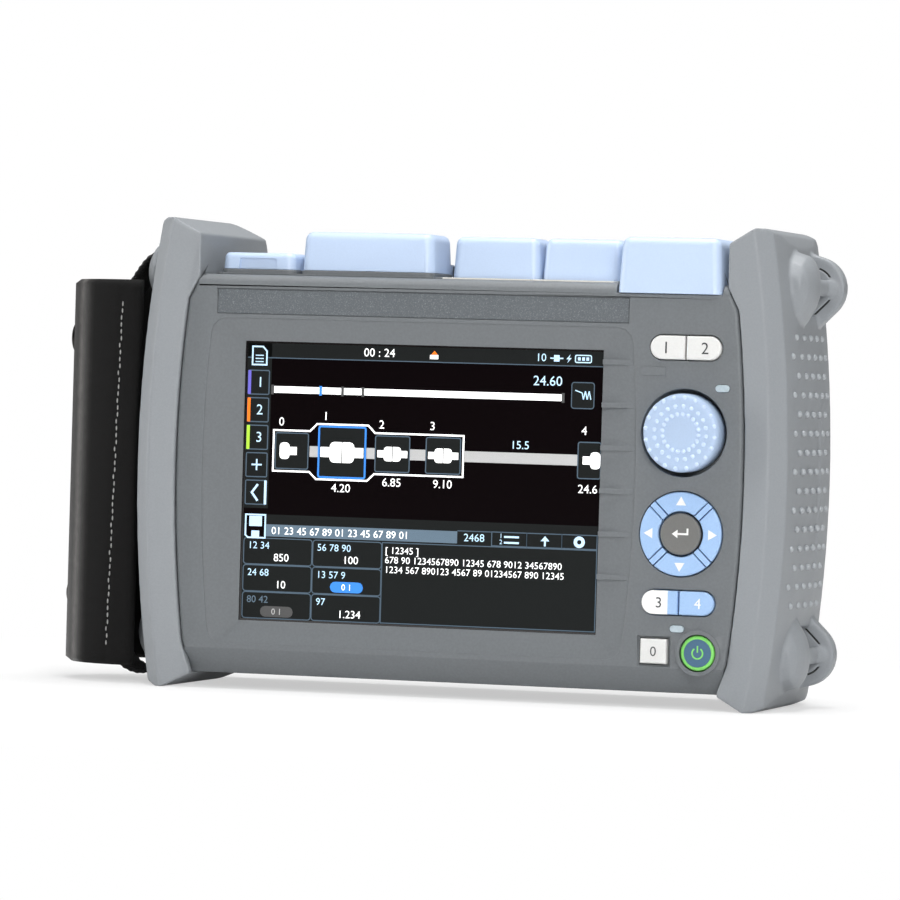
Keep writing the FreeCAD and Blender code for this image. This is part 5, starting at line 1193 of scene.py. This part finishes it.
# Place, width, height and watts.
LIGHTS = {
    "key_box": ((0.85, -1.55, 0.75), 0.55, 0.7, 19.0),
    "left_strip": ((-1.25, -0.25, 0.3), 0.08, 1.1, 8.0),
    "top_box": ((0.1, 0.0, 1.5), 1.2, 0.7, 26.0),
}
FLOOR_HALF = 6.0


def area_light(name, place, width, height, power):
    light = bpy.data.lights.new(name, "AREA")
    light.shape = "RECTANGLE"
    light.size, light.size_y = width, height
    light.energy = power
    holder = new_object(name, light)
    holder.rotation_euler = (LIGHT_AIM - Vector(place)).to_track_quat("-Z", "Y").to_euler()
    holder.location = place


def stage():
    """White surroundings, a pale floor and three soft boxes: front right, left (narrow) and above (broad)."""
    world = bpy.data.worlds.new("studio")
    world.use_nodes = True
    bpy.context.scene.world = world
    graph = Graph(world.node_tree)
    background = graph.nodes["Background"]
    graph.put(background.inputs["Strength"], studio_strength(graph))
    graph.put(background.inputs["Color"], grey(1))
    floor = bpy.data.meshes.new("floor")
    corners = [(x * FLOOR_HALF, y * FLOOR_HALF, 0) for x, y in ((-1, -1), (1, -1), (1, 1), (-1, 1))]
    floor.from_pydata(corners, [], [(0, 1, 2, 3)])
    floor.materials.append(floor_paper())
    holder = new_object("floor", floor)
    for name, light in LIGHTS.items():
        area_light(name, *light)
    bpy.context.scene.view_settings.view_transform = "Standard"


def studio_strength(graph):
    """White to the eye; mirrored whiter behind the object than before it; as light, stronger from above."""
    place = graph.add("ShaderNodeTexCoord").outputs["Generated"]
    direction = graph.add("ShaderNodeSeparateXYZ", Vector=place).outputs
    rays = graph.add("ShaderNodeLightPath").outputs
    chosen, mirrored = (graph.add("ShaderNodeMapRange", (), direction[axis], -1.0, 1.0, start, end)
                        for axis, (start, end) in (("Z", AMBIENT), ("Y", MIRRORED)))
    for ray, value in (("Is Glossy Ray", mirrored), ("Is Transmission Ray", 1.0), ("Is Camera Ray", 1.0)):
        chosen = graph.add("ShaderNodeMix", Factor=rays[ray], A=chosen, B=value)
    return chosen


def bright_rays(graph):
    """1 for rays that see the surroundings directly or through glass, less for mirrored ones, 0 otherwise."""
    rays = graph.add("ShaderNodeLightPath").outputs
    mirrored = graph.maths("MULTIPLY", rays["Is Glossy Ray"], 0.25)
    seen = graph.maths("MAXIMUM", rays["Is Camera Ray"], mirrored)
    return graph.maths("MAXIMUM", seen, rays["Is Transmission Ray"])


def floor_paper():
    """Pale paper that keeps the shadow near the object and turns into the white surroundings further off."""
    paper = Finish("floor_paper", grey(0.86), 0.9)
    distance = paper.add("ShaderNodeVectorMath", {"operation": "LENGTH"}, Vector=paper.place).outputs["Value"]
    near, far, least, most = 0.13, 0.32, 0.55, 1.0
    fade = paper.add("ShaderNodeMapRange", {"interpolation_type": "SMOOTHSTEP"}, distance, near, far,
                     least, most)
    share = paper.maths("MULTIPLY", fade, bright_rays(paper))
    mix = paper.add("ShaderNodeMixShader", (), share, paper.shader, paper.add("ShaderNodeEmission"))
    paper.put(paper.nodes["Material Output"].inputs["Surface"], mix)
    return paper.material


set_camera()
case_parts()
side_domes()
ear_inserts()
screen()
keys()
power_button()
dial()
covers()
strap()
grip()
rear_side()
inner_parts()
stage()
